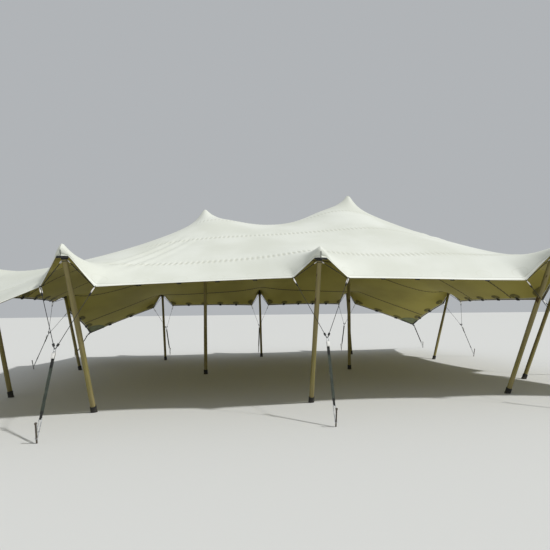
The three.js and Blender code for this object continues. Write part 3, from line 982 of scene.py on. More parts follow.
# %% Hem and webbing
HEM_WIDTH = 0.06
HEM_LIFT = 0.0045
HEM_STEP = 0.05
MITRE_GAP = 1e-4
WEB_WIDTH = 0.04
WEB_LIFT = 0.014
SIDES = {
    "front": ((0, 0), (1, 0), (0, 1), CLOTH_LENGTH),
    "right": ((CLOTH_LENGTH, 0), (0, 1), (-1, 0), CLOTH_WIDTH),
    "back": ((CLOTH_LENGTH, CLOTH_WIDTH), (-1, 0), (0, -1), CLOTH_LENGTH),
    "left": ((0, CLOTH_WIDTH), (0, -1), (1, 0), CLOTH_WIDTH),
}
HEM_SECTION = [
    (HEM_WIDTH, 0.002),
    (HEM_WIDTH - 0.002, HEM_LIFT),
    (0.004, HEM_LIFT),
    (-0.005, 0.0),
    (0.004, -HEM_LIFT),
    (HEM_WIDTH - 0.002, -HEM_LIFT),
    (HEM_WIDTH, -0.002),
]
WEB_SECTION = [
    (0.003, -HEM_LIFT + 0.001),
    (0.002, -0.8 * WEB_LIFT),
    (0.01, -WEB_LIFT),
    (WEB_WIDTH, -0.6 * WEB_LIFT),
    (0.004 + WEB_WIDTH, -HEM_LIFT + 0.001),
]


def edge_strip(length, section):
    """A strip along one side: X runs along it, Y inwards and Z off the cloth, with mitred ends."""
    steps = filled([0, length], HEM_STEP)
    ring = section + section[:1]
    part = flat_grid(steps, range(len(ring)))
    for vert in part.verts:
        inset, lift = ring[round(vert.co.y)]
        along = vert.co.x / length
        vert.co = (inset + along * (length - 2 * inset), inset, lift)
    weld(part)
    return part


def add_edging(name, section, material):
    edging = Piece()
    for origin, along, inward, length in SIDES.values():
        edging.add(edge_strip(length, section), on_cloth(origin, along, inward))
    weld(edging.whole, MITRE_GAP)
    return edging.finish(name, [material], "cloth")


print("points round the hem:", len(HEM_SECTION))

# %% [markdown]
# The hem is the cloth itself, with two rows of stitches and a soft shadow along its inner fold. All
# webbing is woven with small ribs, and it is paler in some places than in others.

# %% Finishes of the hem and of webbing
WEAVE_PITCHES = (0.004, 0.005)
FABRIC_ROUGHNESS = 0.75
FINE_BUMP = 0.0008
HEM_THREAD_INSET = 0.008
HEM_THREAD_EDGE = (0.0008, 0.0025)
HEM_THREAD = shade(170, 170, 150)
FOLD_EDGE = (0.004, 0.016)
FOLD_SHADOW = shade(160, 162, 150)


def webbing_finish(name, light, dark):
    """Woven webbing: ribs across it and a little wear."""
    finish = Finish(name)
    vector, x, y, _ = finish.laid()
    wear, colour = finish.clouded(vector, 9.0, 3.0, light, dark)
    height = woven(x, y, *WEAVE_PITCHES) + wear
    return finish.surface(colour, uneven(FABRIC_ROUGHNESS, wear), height, FINE_BUMP)


def hem_finish():
    """The folded hem: cream cloth with two rows of stitches."""
    finish = Finish("cream_hem")
    vector, x, y, _ = finish.laid()
    cloud, colour = finish.clouded(vector, 2.2, 4.0, HEM_CREAM, CREAM)
    from_edge = (y - HEM_WIDTH / 2).size() - HEM_WIDTH / 2
    rows = (from_edge + HEM_THREAD_INSET).size().fades(*HEM_THREAD_EDGE) * stitches(x)
    fold = (y - HEM_WIDTH).size().fades(*FOLD_EDGE)
    colour = finish.mixed(fold * 0.6, colour, FOLD_SHADOW)
    colour = finish.mixed(rows * 0.7, colour, HEM_THREAD)
    return finish.surface(colour, uneven(CREAM_ROUGHNESS, cloud), cloud * 0.3 - rows, FINE_BUMP)


cream_hem = hem_finish()
dark_webbing = webbing_finish("dark_webbing", shade(116, 107, 78), shade(96, 88, 60))
hem = add_edging("hem", HEM_SECTION, cream_hem)
hem_webbing = add_edging("hem_webbing", WEB_SECTION, dark_webbing)
print("hem faces:", len(hem.data.polygons), "webbing faces:", len(hem_webbing.data.polygons))

# %% [markdown]
# ## Seam tapes
#
# Under each seam runs a narrow tape over the two turned-in edges of the panels. It shows as a dark
# line on the underside. A flat bar is cut at the cloth's own columns, so that it follows every
# pucker of the cloth above it and never shows through.

# %% Tapes under the seams
TAPE_WIDTH = 0.035
TAPE_THICKNESS = 0.0022
TAPE_START = 2 * COLUMN_STEP
TAPE_STEP = 1.001 * COLUMN_STEP


def tape(width, thickness, length, step):
    """A flat bar along X with its back at zero height and its face below."""
    part = flat_grid(filled([0, length], step), [-width / 2, 0, width / 2])
    thicken(part, thickness)
    return part


def add_seam_tapes():
    tapes = Piece()
    for seam in SEAMS:
        part = tape(TAPE_WIDTH, TAPE_THICKNESS, CLOTH_LENGTH - 2 * TAPE_START, TAPE_STEP)
        move(part, 0, 0, -CLOTH_THICKNESS / 2)
        tapes.add(part, on_cloth((TAPE_START, seam)))
    return tapes.finish("seam_tapes", [seam_tape], "cloth")


seam_tape = webbing_finish("seam_tape", shade(70, 62, 36), shade(56, 50, 30))
seam_tapes = add_seam_tapes()
print("seam tapes:", len(SEAMS))

# %% [markdown]
# ## Patches at the eyes
#
# Every 70 cm the hem has an eye, where a guy or a cord can take hold, and an oval patch under the
# cloth spreads its pull. One patch is shaped flat, with a rounded rim, and laid on the cloth once
# for each eye. A quarter-round one fills each corner.

# %% Oval patches
PATCH_THICKNESS = 0.004
PATCH_LIFT = HEM_LIFT + 0.0005
PATCH_RINGS = [0.12, 0.45, 0.75, 0.93, 1.0]
PATCH_RIM = 0.97
PATCH_THREAD_RING = 0.9
PATCH_THREAD = shade(66, 66, 44)
CORNER_PATCH_RADIUS = 0.55


def round_patch(width, depth, turn, columns):
    """A flat patch with a round edge, a full turn for an eye or a quarter for a corner."""
    angles = [turn * step / columns for step in range(columns + 1)]
    part = flat_grid(angles, PATCH_RINGS)
    for vert in part.verts:
        angle, ring = vert.co.x, vert.co.y
        vert.co = (-width * ring * math.cos(angle), depth * ring * math.sin(angle), 0)
    weld(part)
    thicken(part, PATCH_THICKNESS, -PATCH_LIFT)
    for vert in part.verts:
        if math.hypot(vert.co.x / width, vert.co.y / depth) > PATCH_RIM:
            vert.co.z = max(vert.co.z, -PATCH_LIFT - PATCH_THICKNESS / 2)
    return part


def eye_places(reach=0):
    """Origin and directions of every eye between the corners, further than reach from a pole's eye."""
    for origin, along, inward, length in SIDES.values():
        for number in range(1, round(length / EYE_PITCH)):
            run = number * EYE_PITCH
            place = (origin[0] + along[0] * run, origin[1] + along[1] * run)
            if all(math.dist(place, (i * CELL, j * CELL)) >= reach for i, j in pole_eyes):
                yield place, along, inward


def add_patches():
    patches = Piece()
    for origin, along, inward in eye_places():
        oval = round_patch(PATCH_HALF_WIDTH, PATCH_HALF_DEPTH, 2 * math.pi, 20)
        centre = (origin[0] + PATCH_INSET * inward[0], origin[1] + PATCH_INSET * inward[1])
        patches.add(oval, on_cloth(centre, along, inward))
    for origin, along, inward, _ in SIDES.values():
        corner = round_patch(CORNER_PATCH_RADIUS, CORNER_PATCH_RADIUS, math.pi / 2, 12)
        bmesh.ops.scale(corner, verts=corner.verts, vec=(-1, 1, 1))
        patches.add(corner, on_cloth(origin, along, inward), 1)
    return patches.finish("eye_patches", [oval_cloth, corner_cloth], "cloth")


def patch_finish(name, light, dark, half_width, half_depth):
    """Cloth with stitches along its round edge."""
    finish = Finish(name)
    vector, x, y, _ = finish.laid()
    cloud, colour = finish.clouded(vector, 6.0, 3.0, light, dark)
    from_ring = (oval_reach(x, y, half_width, half_depth) - PATCH_THREAD_RING).size()
    row = (from_ring * half_depth).fades(*THREAD_EDGE)
    colour = finish.mixed(row * 0.4, colour, PATCH_THREAD)
    height = woven(x, y, KNIT, KNIT) * 0.2 - row
    return finish.surface(colour, uneven(FABRIC_ROUGHNESS, cloud), height, FINE_BUMP, DULL)


oval_looks = (shade(122, 115, 66), shade(106, 100, 56), PATCH_HALF_WIDTH, PATCH_HALF_DEPTH)
corner_looks = (shade(126, 132, 98), shade(112, 118, 86), CORNER_PATCH_RADIUS, CORNER_PATCH_RADIUS)
oval_cloth = patch_finish("oval_patch_cloth", *oval_looks)
corner_cloth = patch_finish("corner_patch_cloth", *corner_looks)
eye_patches = add_patches()
print("patches:", len(list(eye_places())) + len(SIDES))

# %% [markdown]
# ## Loops at the eyes
#
# Under the hem at each eye lies a wide flat webbing loop, which hangs open a little. Its side view
# is a short list of points from the cloth round the turn and back, so the strip follows them. The
# eyes at and beside the poles have none, because the poles' guys take hold there.

# %% Webbing loops
LOOP_WIDTH = 0.085
LOOP_THICKNESS = 0.0025
LOOP_PATH = [
    (0.11, -0.0095),
    (0.08, -0.012),
    (0.05, -0.016),
    (0.02, -0.02),
    (0.002, -0.024),
    (-0.004, -0.029),
    (0.002, -0.034),
    (0.02, -0.035),
    (0.04, -0.031),
    (0.05, -0.025),
]


def loop_strap():
    """A wide webbing strip that is folded into a flat loop under the hem."""
    part = flat_grid(range(len(LOOP_PATH)), [-LOOP_WIDTH / 2, 0, LOOP_WIDTH / 2])
    for vert in part.verts:
        inset, lift = LOOP_PATH[round(vert.co.x)]
        vert.co = (vert.co.y, inset, lift)
    bmesh.ops.recalc_face_normals(part, faces=part.faces)
    bmesh.ops.solidify(part, geom=part.faces[:], thickness=LOOP_THICKNESS)
    return part


def add_loops():
    loops = Piece()
    for origin, along, inward in eye_places(1.5 * EYE_PITCH):
        loops.add(loop_strap(), on_cloth(origin, along, inward))
    return loops.finish("eye_loops", [black_webbing], "guy_webbing")


black_webbing = webbing_finish("black_webbing", shade(38, 38, 36), shade(22, 22, 21))
eye_loops = add_loops()
print("loop faces:", len(eye_loops.data.polygons))

# %% [markdown]
# ## Parts that are turned, bent or cut
#
# Poles, boots, stakes and rings are round, so each one is the outline of one side, turned once
# round its axis. Straps are flat strips and the ratchets are plates with bevelled edges. Each part is
# shaped along its own Z, or its own X for straps, and then stood or stretched between two points.

# %% Turned parts, rings, ropes and plates
ROPE_TURN = 0.06
ROPE_STEP = 0.02
STRAND_DEPTH = 0.12


def spin(part, axis, steps):
    """Turns the outline that a part holds once round an axis."""
    outline = part.verts[:] + part.edges[:]
    turn = {"axis": axis, "cent": (0, 0, 0), "angle": 2 * math.pi, "steps": steps}
    bmesh.ops.spin(part, geom=outline, use_merge=True, **turn)


def turned(profile, sides=24):
    """A round part along Z, from pairs of radius and height."""
    part = bmesh.new()
    points = [part.verts.new((radius, 0, height)) for radius, height in profile]
    for start, end in zip(points, points[1:]):
        part.edges.new((start, end))
    spin(part, (0, 0, 1), sides)
    weld(part)
    return part


def rod(radius, start, end, sides, step=None):
    """A round rod along Z, with rings of points a step apart if a step is given."""
    heights = filled([start, end], step or end - start)
    return turned([(0, start)] + [(radius, z) for z in heights] + [(0, end)], sides)


def widen(part, factor):
    """Widens a round part by a factor that depends on the angle and the height."""
    for vert in part.verts:
        wider = factor(math.atan2(vert.co.y, vert.co.x), vert.co.z)
        vert.co.x *= wider
        vert.co.y *= wider


def quarter_turn(part):
    """Turns a part a quarter round its X axis."""
    bmesh.ops.rotate(part, verts=part.verts, matrix=Matrix.Rotation(math.pi / 2, 3, "X"))


def ring(half_width, half_length, wire, middle=0.0, steps=20):
    """A ring of round wire, drawn out along Z into an oval whose middle is at a height."""
    part = bmesh.new()
    bmesh.ops.create_circle(part, segments=8, radius=wire)
    move(part, half_width, 0, 0)
    spin(part, (0, 1, 0), steps)
    for vert in part.verts:
        if abs(vert.co.z) > TINY:
            vert.co.z += math.copysign(half_length - half_width, vert.co.z)
    move(part, 0, 0, middle)
    return part


def collar(radius, wire, height, steps=20):
    """A ring of round cord that lies level round the Z axis."""
    part = ring(radius, radius, wire, steps=steps)
    quarter_turn(part)
    move(part, 0, 0, height)
    return part


def rope(radius, start, end):
    """A laid rope of three strands along Z."""
    part = rod(radius, start, end, 12, ROPE_STEP)
    lay = 2 * math.pi / ROPE_TURN
    widen(part, lambda angle, z: 1 - STRAND_DEPTH * math.sin(1.5 * (angle - lay * z)) ** 2)
    return part


def plate(width, thickness, start, end, rounding, aside=0.0, over=0.0):
    """A flat bar along X with rounded edges."""
    part = bmesh.new()
    bmesh.ops.create_cube(part, size=1.0)
    bmesh.ops.scale(part, verts=part.verts, vec=(end - start, width, thickness))
    move(part, (start + end) / 2, aside, over)
    bevel = {"affect": "EDGES", "offset": rounding, "segments": 3, "profile": 0.5, "material": -1}
    bmesh.ops.bevel(part, geom=part.edges[:], **bevel)
    return part


def between(start, end, ahead="Z"):
    """Puts a part so that it begins at one point and its Z or X axis points at the other."""
    forward = (end - start).normalized()
    side = Vector((forward.y, -forward.x, 0))
    side = side.normalized() if side.length > TINY else Vector((1, 0, 0))
    over = forward.cross(side)
    axes = np.array((side, over, forward) if ahead == "Z" else (forward, -side, -over))
    base = np.array(start)
    return lambda own: own @ axes + base


def cut_level(part, place):
    """Cuts a part off where it would go below the ground, and closes the cut."""
    origin, x_end, y_end, z_end = place(np.array([(0, 0, 0), (1, 0, 0), (0, 1, 0), (0, 0, 1)], float))
    up = Vector(((x_end - origin)[2], (y_end - origin)[2], (z_end - origin)[2]))
    level = {"plane_co": -origin[2] * up, "plane_no": up, "clear_inner": True}
    made = bmesh.ops.bisect_plane(part, geom=part.verts[:] + part.edges[:] + part.faces[:], **level)
    rim = [item for item in made["geom_cut"] if isinstance(item, bmesh.types.BMEdge)]
    bmesh.ops.edgeloop_fill(part, edges=rim)
    return part


print("rope turns once in metres:", ROPE_TURN)

# %% [markdown]
# ## Finishes of poles, rubber, ropes and steel
#
# The poles are round peeled timber, golden where it is fresh and grey-brown in streaks along the
# grain. Boots and caps are moulded black rubber, dusty towards the ground. Ropes are dark. Hooks,
# rings and ratchets are zinc-plated steel, and the stakes are bare steel that has gone brown.

# %% Wood, rubber, rope and steel
WOOD, WOOD_GRAIN = shade(146, 138, 80), shade(98, 91, 47)
WOOD_WEATHERED, WOOD_KNOT = shade(146, 134, 98), shade(78, 62, 36)
RUBBER, RUBBER_SCUFFED = shade(20, 20, 20), shade(34, 34, 34)
DUST, DUST_HEIGHT = shade(96, 90, 76), 0.14
ROPE, ROPE_WORN = shade(32, 33, 33), shade(54, 56, 54)
BRAIDS_PER_METRE = 700
WOOD_BUMP, ROPE_BUMP, STEEL_BUMP = 0.0015, 0.0012, 0.0003

# How much closer together the marks in the wood lie across and along the pole.
GRAIN_STRETCH = (38.0, 38.0, 1.3)
WEATHER_STRETCH = (5.0, 5.0, 0.9)
KNOT_STRETCH = (11.0, 11.0, 4.0)


def wood_finish():
    finish = Finish("pole_timber")
    vector = finish.laid()[0]
    grain = finish.noise(finish.stretched(vector, GRAIN_STRETCH), 1.0, 5.0, 0.6)
    patches = finish.noise(finish.stretched(vector, WEATHER_STRETCH), 1.0, 3.0)
    knots = finish.noise(finish.stretched(vector, KNOT_STRETCH), 1.0, 1.0)
    colour = finish.mixed(grain.fades(0.3, 0.7), WOOD, WOOD_GRAIN)
    colour = finish.mixed(patches.fades(0.42, 0.62) * 0.6, colour, WOOD_WEATHERED)
    colour = finish.mixed(1 - knots.fades(0.68, 0.74), colour, WOOD_KNOT)
    return finish.surface(colour, 0.6 + grain * 0.25, grain + knots * 0.5, WOOD_BUMP, DULL)


def rubber_finish():
    finish = Finish("black_rubber")
    vector, _, _, z = finish.laid()
    scuffs = finish.noise(vector, 28.0, 4.0, 0.6)
    dust = z.fades(0.0, DUST_HEIGHT) * finish.noise(vector, 11.0, 3.0)
    colour = finish.mixed(scuffs.fades(0.4, 0.7), RUBBER_SCUFFED, RUBBER)
    colour = finish.mixed(dust * 0.5, colour, DUST)
    return finish.surface(colour, 0.6 + scuffs * 0.25, scuffs, FINE_BUMP)


def rope_finish():
    finish = Finish("dark_rope")
    vector, x, y, z = finish.laid()
    angle = finish.node("ShaderNodeMath", {"operation": "ARCTAN2"}, {0: y, 1: x})
    turns = z * BRAIDS_PER_METRE
    braid = (angle * 3 + turns).sine() * (angle * 3 - turns).sine()
    wear, colour = finish.clouded(vector, 14.0, 3.0, ROPE_WORN, ROPE)
    return finish.surface(colour, 0.7 + wear * 0.2, braid, ROPE_BUMP)


def steel_finish(name, light, dark, metallic):
    finish = Finish(name)
    cloud, colour = finish.clouded(finish.laid()[0], 45.0, 3.0, light, dark)
    return finish.surface(colour, 0.3 + cloud * 0.3, cloud, STEEL_BUMP, {"Metallic": metallic})


timber = wood_finish()
rubber = rubber_finish()
dark_rope = rope_finish()
steel = steel_finish("zinc_steel", shade(214, 216, 216), shade(176, 178, 178), 0.75)
stake_steel = steel_finish("stake_steel", shade(104, 96, 84), shade(70, 63, 55), 0.4)
bright_steel = steel_finish("bright_steel", shade(240, 238, 232), shade(220, 218, 212), 0.2)
hood_webbing = webbing_finish("hood_webbing", shade(128, 131, 124), shade(104, 107, 100))
strap_webbing = webbing_finish("strap_webbing", shade(66, 74, 64), shade(49, 56, 47))
made_here = (timber, rubber, dark_rope, steel, stake_steel, bright_steel, hood_webbing, strap_webbing)
print("finishes:", [look.name for look in made_here])

# %% [markdown]
# ## Poles
#
# A pole is a peeled trunk, so it isn't perfectly round: its section swells and shifts a little along
# its length. The head is a black rubber cap that narrows to a round nose, on which the cloth rests.
# Below it a cord is tied round the pole, and from that two snap hooks and ropes run down to the eyes
# of the V. The foot stands in a ribbed rubber boot, cut level with the ground.

# %% Shafts, caps and boots
SHAFT_BOTTOM = 0.042
SHAFT_STEP = 0.12
UNEVENNESS = 0.0014
SWELLINGS = ((3, 1.9, 1), (2, -3.1, 2))
EDGE_POLE_RADIUS = 0.046
CENTRE_POLE_RADIUS = 0.05
ROUND_SIDES = 28
CAP_LENGTH = 0.26
DOME_LENGTH = 0.13
DOME_SIDES = 32
SHAFT_IN_CAP = 0.03
BOOT_HEIGHT = 0.13
BOOT_SOLE = 0.08
BOOT_RIBS = 4
RIBS_START = 0.026
RIB_PITCH = (BOOT_HEIGHT - 0.045) / BOOT_RIBS

# Outlines as pairs of how far they stand out from the shaft and their height. A rib's heights are
# shares of its pitch, and a cap's are counted from its lower end.
SOLE_OUTLINE = [(0.015, -BOOT_SOLE), (0.015, 0.014), (0.011, 0.022)]
RIB_OUTLINE = [(0.008, 0.0), (0.008, 0.4), (0.012, 0.55), (0.012, 0.85)]
RIM_OUTLINE = [
    (0.01, BOOT_HEIGHT - 0.008),
    (0.007, BOOT_HEIGHT),
    (0.002, BOOT_HEIGHT),
    (0.002, SHAFT_BOTTOM),
]
CAP_SLEEVE = [(0.0, 0.0), (0.007, 0.0), (0.009, 0.01), (0.009, 0.03), (0.004, 0.036)]

# Outlines as pairs of radius and height, counted from the pole's end.
CAP_NOSE = [
    (0.037, -0.172),
    (0.034, -0.11),
    (0.028, -0.06),
    (0.019, -0.026),
    (0.008, -0.009),
    (0.0, -0.007),
]
DOME = [(0.057, -0.125), (0.059, -0.075), (0.055, -0.052), (0.044, -0.03), (0.028, -0.015), (0, -0.006)]


def shaft(radius, top, seed):
    """A peeled trunk between the boot's floor and a height, with waves round it and along it."""
    part = rod(radius, SHAFT_BOTTOM, top, ROUND_SIDES, SHAFT_STEP)

    def swelling(angle, z):
        waves = sum(math.sin(turns * angle + along * z + own * seed) for turns, along, own in SWELLINGS)
        return 1 + UNEVENNESS * waves / radius

    widen(part, swelling)
    return part


def boot(radius):
    """A rubber cup with ribs, wider at its sole."""
    ribs = []
    for rib in range(BOOT_RIBS):
        ribs += [(out, RIBS_START + (rib + z) * RIB_PITCH) for out, z in RIB_OUTLINE]
    outline = [(radius + out, z) for out, z in SOLE_OUTLINE + ribs + RIM_OUTLINE]
    return turned([(0, -BOOT_SOLE)] + outline + [(0, SHAFT_BOTTOM)], ROUND_SIDES)


def edge_cap(radius, length):
    """A sleeve on the pole's head that narrows to a round nose."""
    sleeve = [(radius + out, length - CAP_LENGTH + z) for out, z in CAP_SLEEVE]
    return turned(sleeve + [(nose_radius, length + z) for nose_radius, z in CAP_NOSE])


def centre_cap(radius, length):
    """A dome on the centre pole's head."""
    dome = [(dome_radius, length + z) for dome_radius, z in DOME]
    return turned([(radius, length - DOME_LENGTH)] + dome, DOME_SIDES)


print("boot and its sole in metres:", BOOT_HEIGHT, BOOT_SOLE)

# %% [markdown]
# A pole is put together straight and then leaned from its foot to its head. Only the boot is cut
# level. The edge poles' cord, hooks and ropes go from the neck to the two eyes of the hem beside it.

# %% Whole poles
CORD_BELOW_HEAD = 0.29
CORD_RADIUS = 0.005
SNAP_ASIDE = 0.05
SNAP_SIZES = (0.013, 0.026, 0.008)
SNAP_MIDDLE = 0.02
V_ROPE_START = 0.038
V_ROPE_RADIUS = 0.007
V_ROPE_LIFT = -0.02
POLE_LOOKS = [timber, rubber, dark_rope, bright_steel]
WOOD_SLOT, RUBBER_SLOT, ROPE_SLOT, STEEL_SLOT = range(4)


def add_boot(name, place, radius):
    made = Piece()
    made.add(cut_level(boot(radius), place), place)
    return made.finish(f"rubber_boot_{name}", [rubber], "boot_rubber", [f"boot_{name}"])


def hem_point(eye, step, lift=0.0):
    """The eye that is a number of pitches along the hem from another one."""
    out_x, out_y = outward_of(eye)
    u, v = eye[0] + step * abs(out_y), eye[1] + step * abs(out_x)
    return cloth_point(u * EYE_PITCH, v * EYE_PITCH, lift)


def add_v_ropes(pole, foot, head, eye):
    """The cord round the pole's neck, and a snap hook and a rope from it to each eye of the V."""
    ahead = (head - foot).normalized()
    neck = head - ahead * CORD_BELOW_HEAD
    cord = collar(EDGE_POLE_RADIUS + 0.004, CORD_RADIUS, (neck - foot).length)
    pole.add(cord, between(foot, head), ROPE_SLOT)
    for step in (-1, 1):
        target = hem_point(eye, step, V_ROPE_LIFT)
        aside = target - neck
        aside = (aside - ahead * aside.dot(ahead)).normalized()
        start = neck + aside * SNAP_ASIDE
        place = between(start, target)
        pole.add(ring(*SNAP_SIZES, SNAP_MIDDLE), place, STEEL_SLOT)
        pole.add(rope(V_ROPE_RADIUS, V_ROPE_START, (target - start).length), place, ROPE_SLOT)


def add_pole(name, foot, head, seed, eye=None):
    """A pole with its cap and its boot. An edge pole has an eye in the hem, and the ropes of a V."""
    length = (head - foot).length
    place = between(foot, head)
    radius, cap, cap_length = CENTRE_POLE_RADIUS, centre_cap, DOME_LENGTH
    if eye:
        radius, cap, cap_length = EDGE_POLE_RADIUS, edge_cap, CAP_LENGTH
    pole = Piece()
    pole.add(shaft(radius, length - cap_length + SHAFT_IN_CAP, seed), place, WOOD_SLOT)
    pole.add(cap(radius, length), place, RUBBER_SLOT)
    if eye:
        add_v_ropes(pole, foot, head, eye)
    add_boot(name, place, radius)
    looks = POLE_LOOKS if eye else POLE_LOOKS[:2]
    return pole.finish(f"timber_pole_{name}", looks, "pole_wood", [f"pole_{name}"])


for name, side, seed in (("centre_left", -1, 0.4), ("centre_right", 1, 1.7)):
    head = Vector((side * CENTRE_POLE_X, 0, PEAK_HEIGHTS[name]))
    add_pole(name, Vector((CENTRE_FOOT_X[name], 0, 0)), head, seed)
for number, (name, pole) in enumerate(EDGE_POLES.items()):
    add_pole(name, Vector((*pole.foot, 0)), Vector(pole.apex), 0.9 * number, pole.eye)
print("poles:", len(CENTRE_FOOT_X) + len(EDGE_POLES))

# %% [markdown]
# ## Straps over the hoods
#
# A webbing strap is sewn on top of each hood, from the pole's head to the hem, and goes on under the
# hem to the cap, so that the cloth can't slip off the pole. A black band hangs below the level hem.

# %% Hood straps
HOOD_STRAP_WIDTH = 0.02
HOOD_STRAP_THICKNESS = 0.003
HOOD_STRAP_EDGE = -0.008
HOOD_STRAP_TURN = (0.019, -0.012, -0.004, 0.002)
HOOD_STEP = 0.03
HOOD_BAND_WIDTH = 0.034
HOOD_BAND_THICKNESS = 0.005

# The strap's two layers, as their height off the cloth and how far each reaches inwards.
HOOD_STRAP_LAYERS = ((0.006, 0.21), (-0.0085, 0.12))


def strip(width, thickness, start, end, over=0.0, step=0.1):
    """A strap along X, between two distances."""
    part = tape(width, thickness, end - start, step)
    move(part, start, 0, over + thickness / 2)
    return part


def hanging(hem_place, outward):
    """Hangs a strip from a stretch of hem: X runs along the hem, Y upwards and Z outwards."""

    def place(own):
        edge = hem_place(own * (1, 0, 0))
        return edge + own[:, 1:2] * (0, 0, 1) + own[:, 2:3] * (*outward, 0)

    return place


def hood_band():
    """The band that hangs below the level hem."""
    size = (HOOD_BAND_WIDTH, HOOD_BAND_THICKNESS)
    band = strip(*size, -HOOD_FLAT, HOOD_FLAT, -HOOD_BAND_THICKNESS / 2, HOOD_STEP)
    move(band, 0, -HEM_LIFT - HOOD_BAND_WIDTH / 2, 0)
    return band


def add_hood_straps():
    straps = Piece()
    size = (HOOD_STRAP_WIDTH, HOOD_STRAP_THICKNESS)
    for i, j in pole_eyes:
        out_x, out_y = outward_of((i // CELLS_PER_EYE, j // CELLS_PER_EYE))
        edge = (i * CELL, j * CELL)
        place = on_cloth(edge, (-out_x, -out_y), (out_y, -out_x))
        for lift, end in HOOD_STRAP_LAYERS:
            straps.add(strip(*size, HOOD_STRAP_EDGE, end, lift, HOOD_STEP), place)
        straps.add(plate(HOOD_STRAP_WIDTH, *HOOD_STRAP_TURN), place)
        straps.add(hood_band(), hanging(on_cloth(edge, (out_y, -out_x)), (out_x, out_y)), 1)
    return straps.finish("hood_straps", [hood_webbing, black_webbing], "guy_webbing")


hood_straps = add_hood_straps()
print("hood straps:", len(pole_eyes))

# %% [markdown]
# ## Guys
#
# Each edge pole's guy starts at the two eyes of its V. A webbing sling comes out of each eye, then a
# steel snap hook, a short rubber sleeve and a rope. The ropes are knotted into one ring, and from
# there a ratchet, a padded sleeve and a flat strap run down to a hook on the stake.

# %% From the eyes to the junction
ROPE_RADIUS = 0.0055
SLING_WIDTH = 0.03
SLING_THICKNESS = 0.006
SLING_LENGTH = 0.035
SLING_BEHIND_EYE = 0.012
GATE_HALF_LENGTH = 0.03
GATE_RADIUS = 0.01
ROPE_IN_SLEEVE = 0.06
KNOT_FROM_END = 0.09
KNOT_END = 0.015
KNOT_TURN = (0.011, 0.009)
KNOT_PITCH = 0.015

# The snap hook's half width, half length and radius of its wire, and the outline of the rubber
# sleeve below it as pairs of radius and height.
EYE_SNAP = (0.015, 0.052, 0.007)
RUBBER_SLEEVE = [(0, 0), (0.009, 0), (0.013, 0.01), (0.013, 0.056), (0.008, 0.066), (0, 0.066)]

GUY_LOOKS = [strap_webbing, rubber, dark_rope, steel, black_webbing, bright_steel, stake_steel]
STRAP_SLOT, BLACK_SLOT, BRIGHT_SLOT, STAKE_SLOT = 0, 4, 5, 6


def add_eye_rope(guy, eye, junction):
    """What runs from one eye of the V to the junction."""
    length = (junction - eye).length
    place, flat = between(eye, junction), between(eye, junction, "X")
    sling = strip(SLING_WIDTH, SLING_THICKNESS, -SLING_BEHIND_EYE, SLING_LENGTH, step=0.02)
    guy.add(sling, flat, BLACK_SLOT)
    middle = SLING_LENGTH - SLING_BEHIND_EYE + EYE_SNAP[1]
    guy.add(ring(*EYE_SNAP, middle), place, BRIGHT_SLOT)
    gate = rod(GATE_RADIUS, middle - GATE_HALF_LENGTH, middle + GATE_HALF_LENGTH, 10)
    move(gate, EYE_SNAP[0], 0, 0)
    guy.add(gate, place, BRIGHT_SLOT)
    low = middle + EYE_SNAP[1] - 2 * EYE_SNAP[2]
    guy.add(turned([(radius, low + z) for radius, z in RUBBER_SLEEVE], 14), place, RUBBER_SLOT)
    knot = length - KNOT_FROM_END
    guy.add(rope(ROPE_RADIUS, low + ROPE_IN_SLEEVE, knot), place, ROPE_SLOT)
    guy.add(rope(1.5 * ROPE_RADIUS, knot, length - KNOT_END), place, ROPE_SLOT)
    for turn in (-1, 0, 1):
        guy.add(collar(*KNOT_TURN, knot + KNOT_PITCH * turn, 12), place, ROPE_SLOT)


print("finishes on a guy:", len(GUY_LOOKS))

# %% [markdown]
# The ratchet tightens the strap: two side plates hold its spools, and the handle lies over them. The
# strap's lower end is sewn into a short loop, and two long hooks join that to a ring on the stake,
# which leans away from the pull and has a hammered head.

# %% From the junction to the stake
JUNCTION_SHARE = 0.46
STAKE_RADIUS = 0.012
STAKE_HEIGHT = 0.3
STAKE_LEAN = 0.07
HITCH_HEIGHT = 0.07
HITCH_RADIUS = 0.005
SIDE_STAKE_X = 8.12
ROW_STAKE_Y = 5.85
CORNER_STAKE_Y = 6.05
STRAP_WIDTH = 0.048
STRAP_THICKNESS = 0.005
STRAP_IN_LOOP = 0.04
END_LOOP_LENGTH = 0.11
END_LOOP_SIZE = (0.036, 0.02)
END_LOOP_ROUNDING = 0.007
HOOK_LENGTH = 0.26
HOOK_IN_LOOP = 0.01
LONG_HOOK_FROM_END = 0.175
STAKE_HOOK_FROM_END = 0.048

# Half width, half length and radius of the wire.
JUNCTION_RING = (0.016, 0.022, 0.005)
LONG_HOOK = (0.018, 0.1, 0.0075)
STAKE_HOOK = (0.014, 0.045, 0.0065)

# The stake's head, as pairs of how far it stands out from the rod and its height from the end.
STAKE_HEAD = [(0, -0.03), (0.006, -0.02), (0.007, -0.008), (0.002, 0)]

# The ratchet's spools, as their place along the strap and their radius.
SPOOLS = ((0.05, 0.012), (0.1, 0.007), (0.128, 0.009))
SPOOL_LIFT = 0.012
SPOOL_HALF_LENGTH = 0.022

# Bars on the strap: width, thickness, start and end along it, rounding, distance aside and lift. The
# side plates and the handle's arms are there on both sides.
SIDE_PLATE = (0.004, 0.03, 0.02, 0.12, 0.0012, 0.018, 0.006)
HANDLE_ARM = (0.004, 0.018, 0.04, 0.135, 0.0012, 0.022, 0.02)
HANDLE_GRIP = (0.046, 0.003, 0.05, 0.135, 0.001, 0.0, 0.03)
PADDED_SLEEVE = (0.04, 0.024, 0.13, 0.27, 0.008)


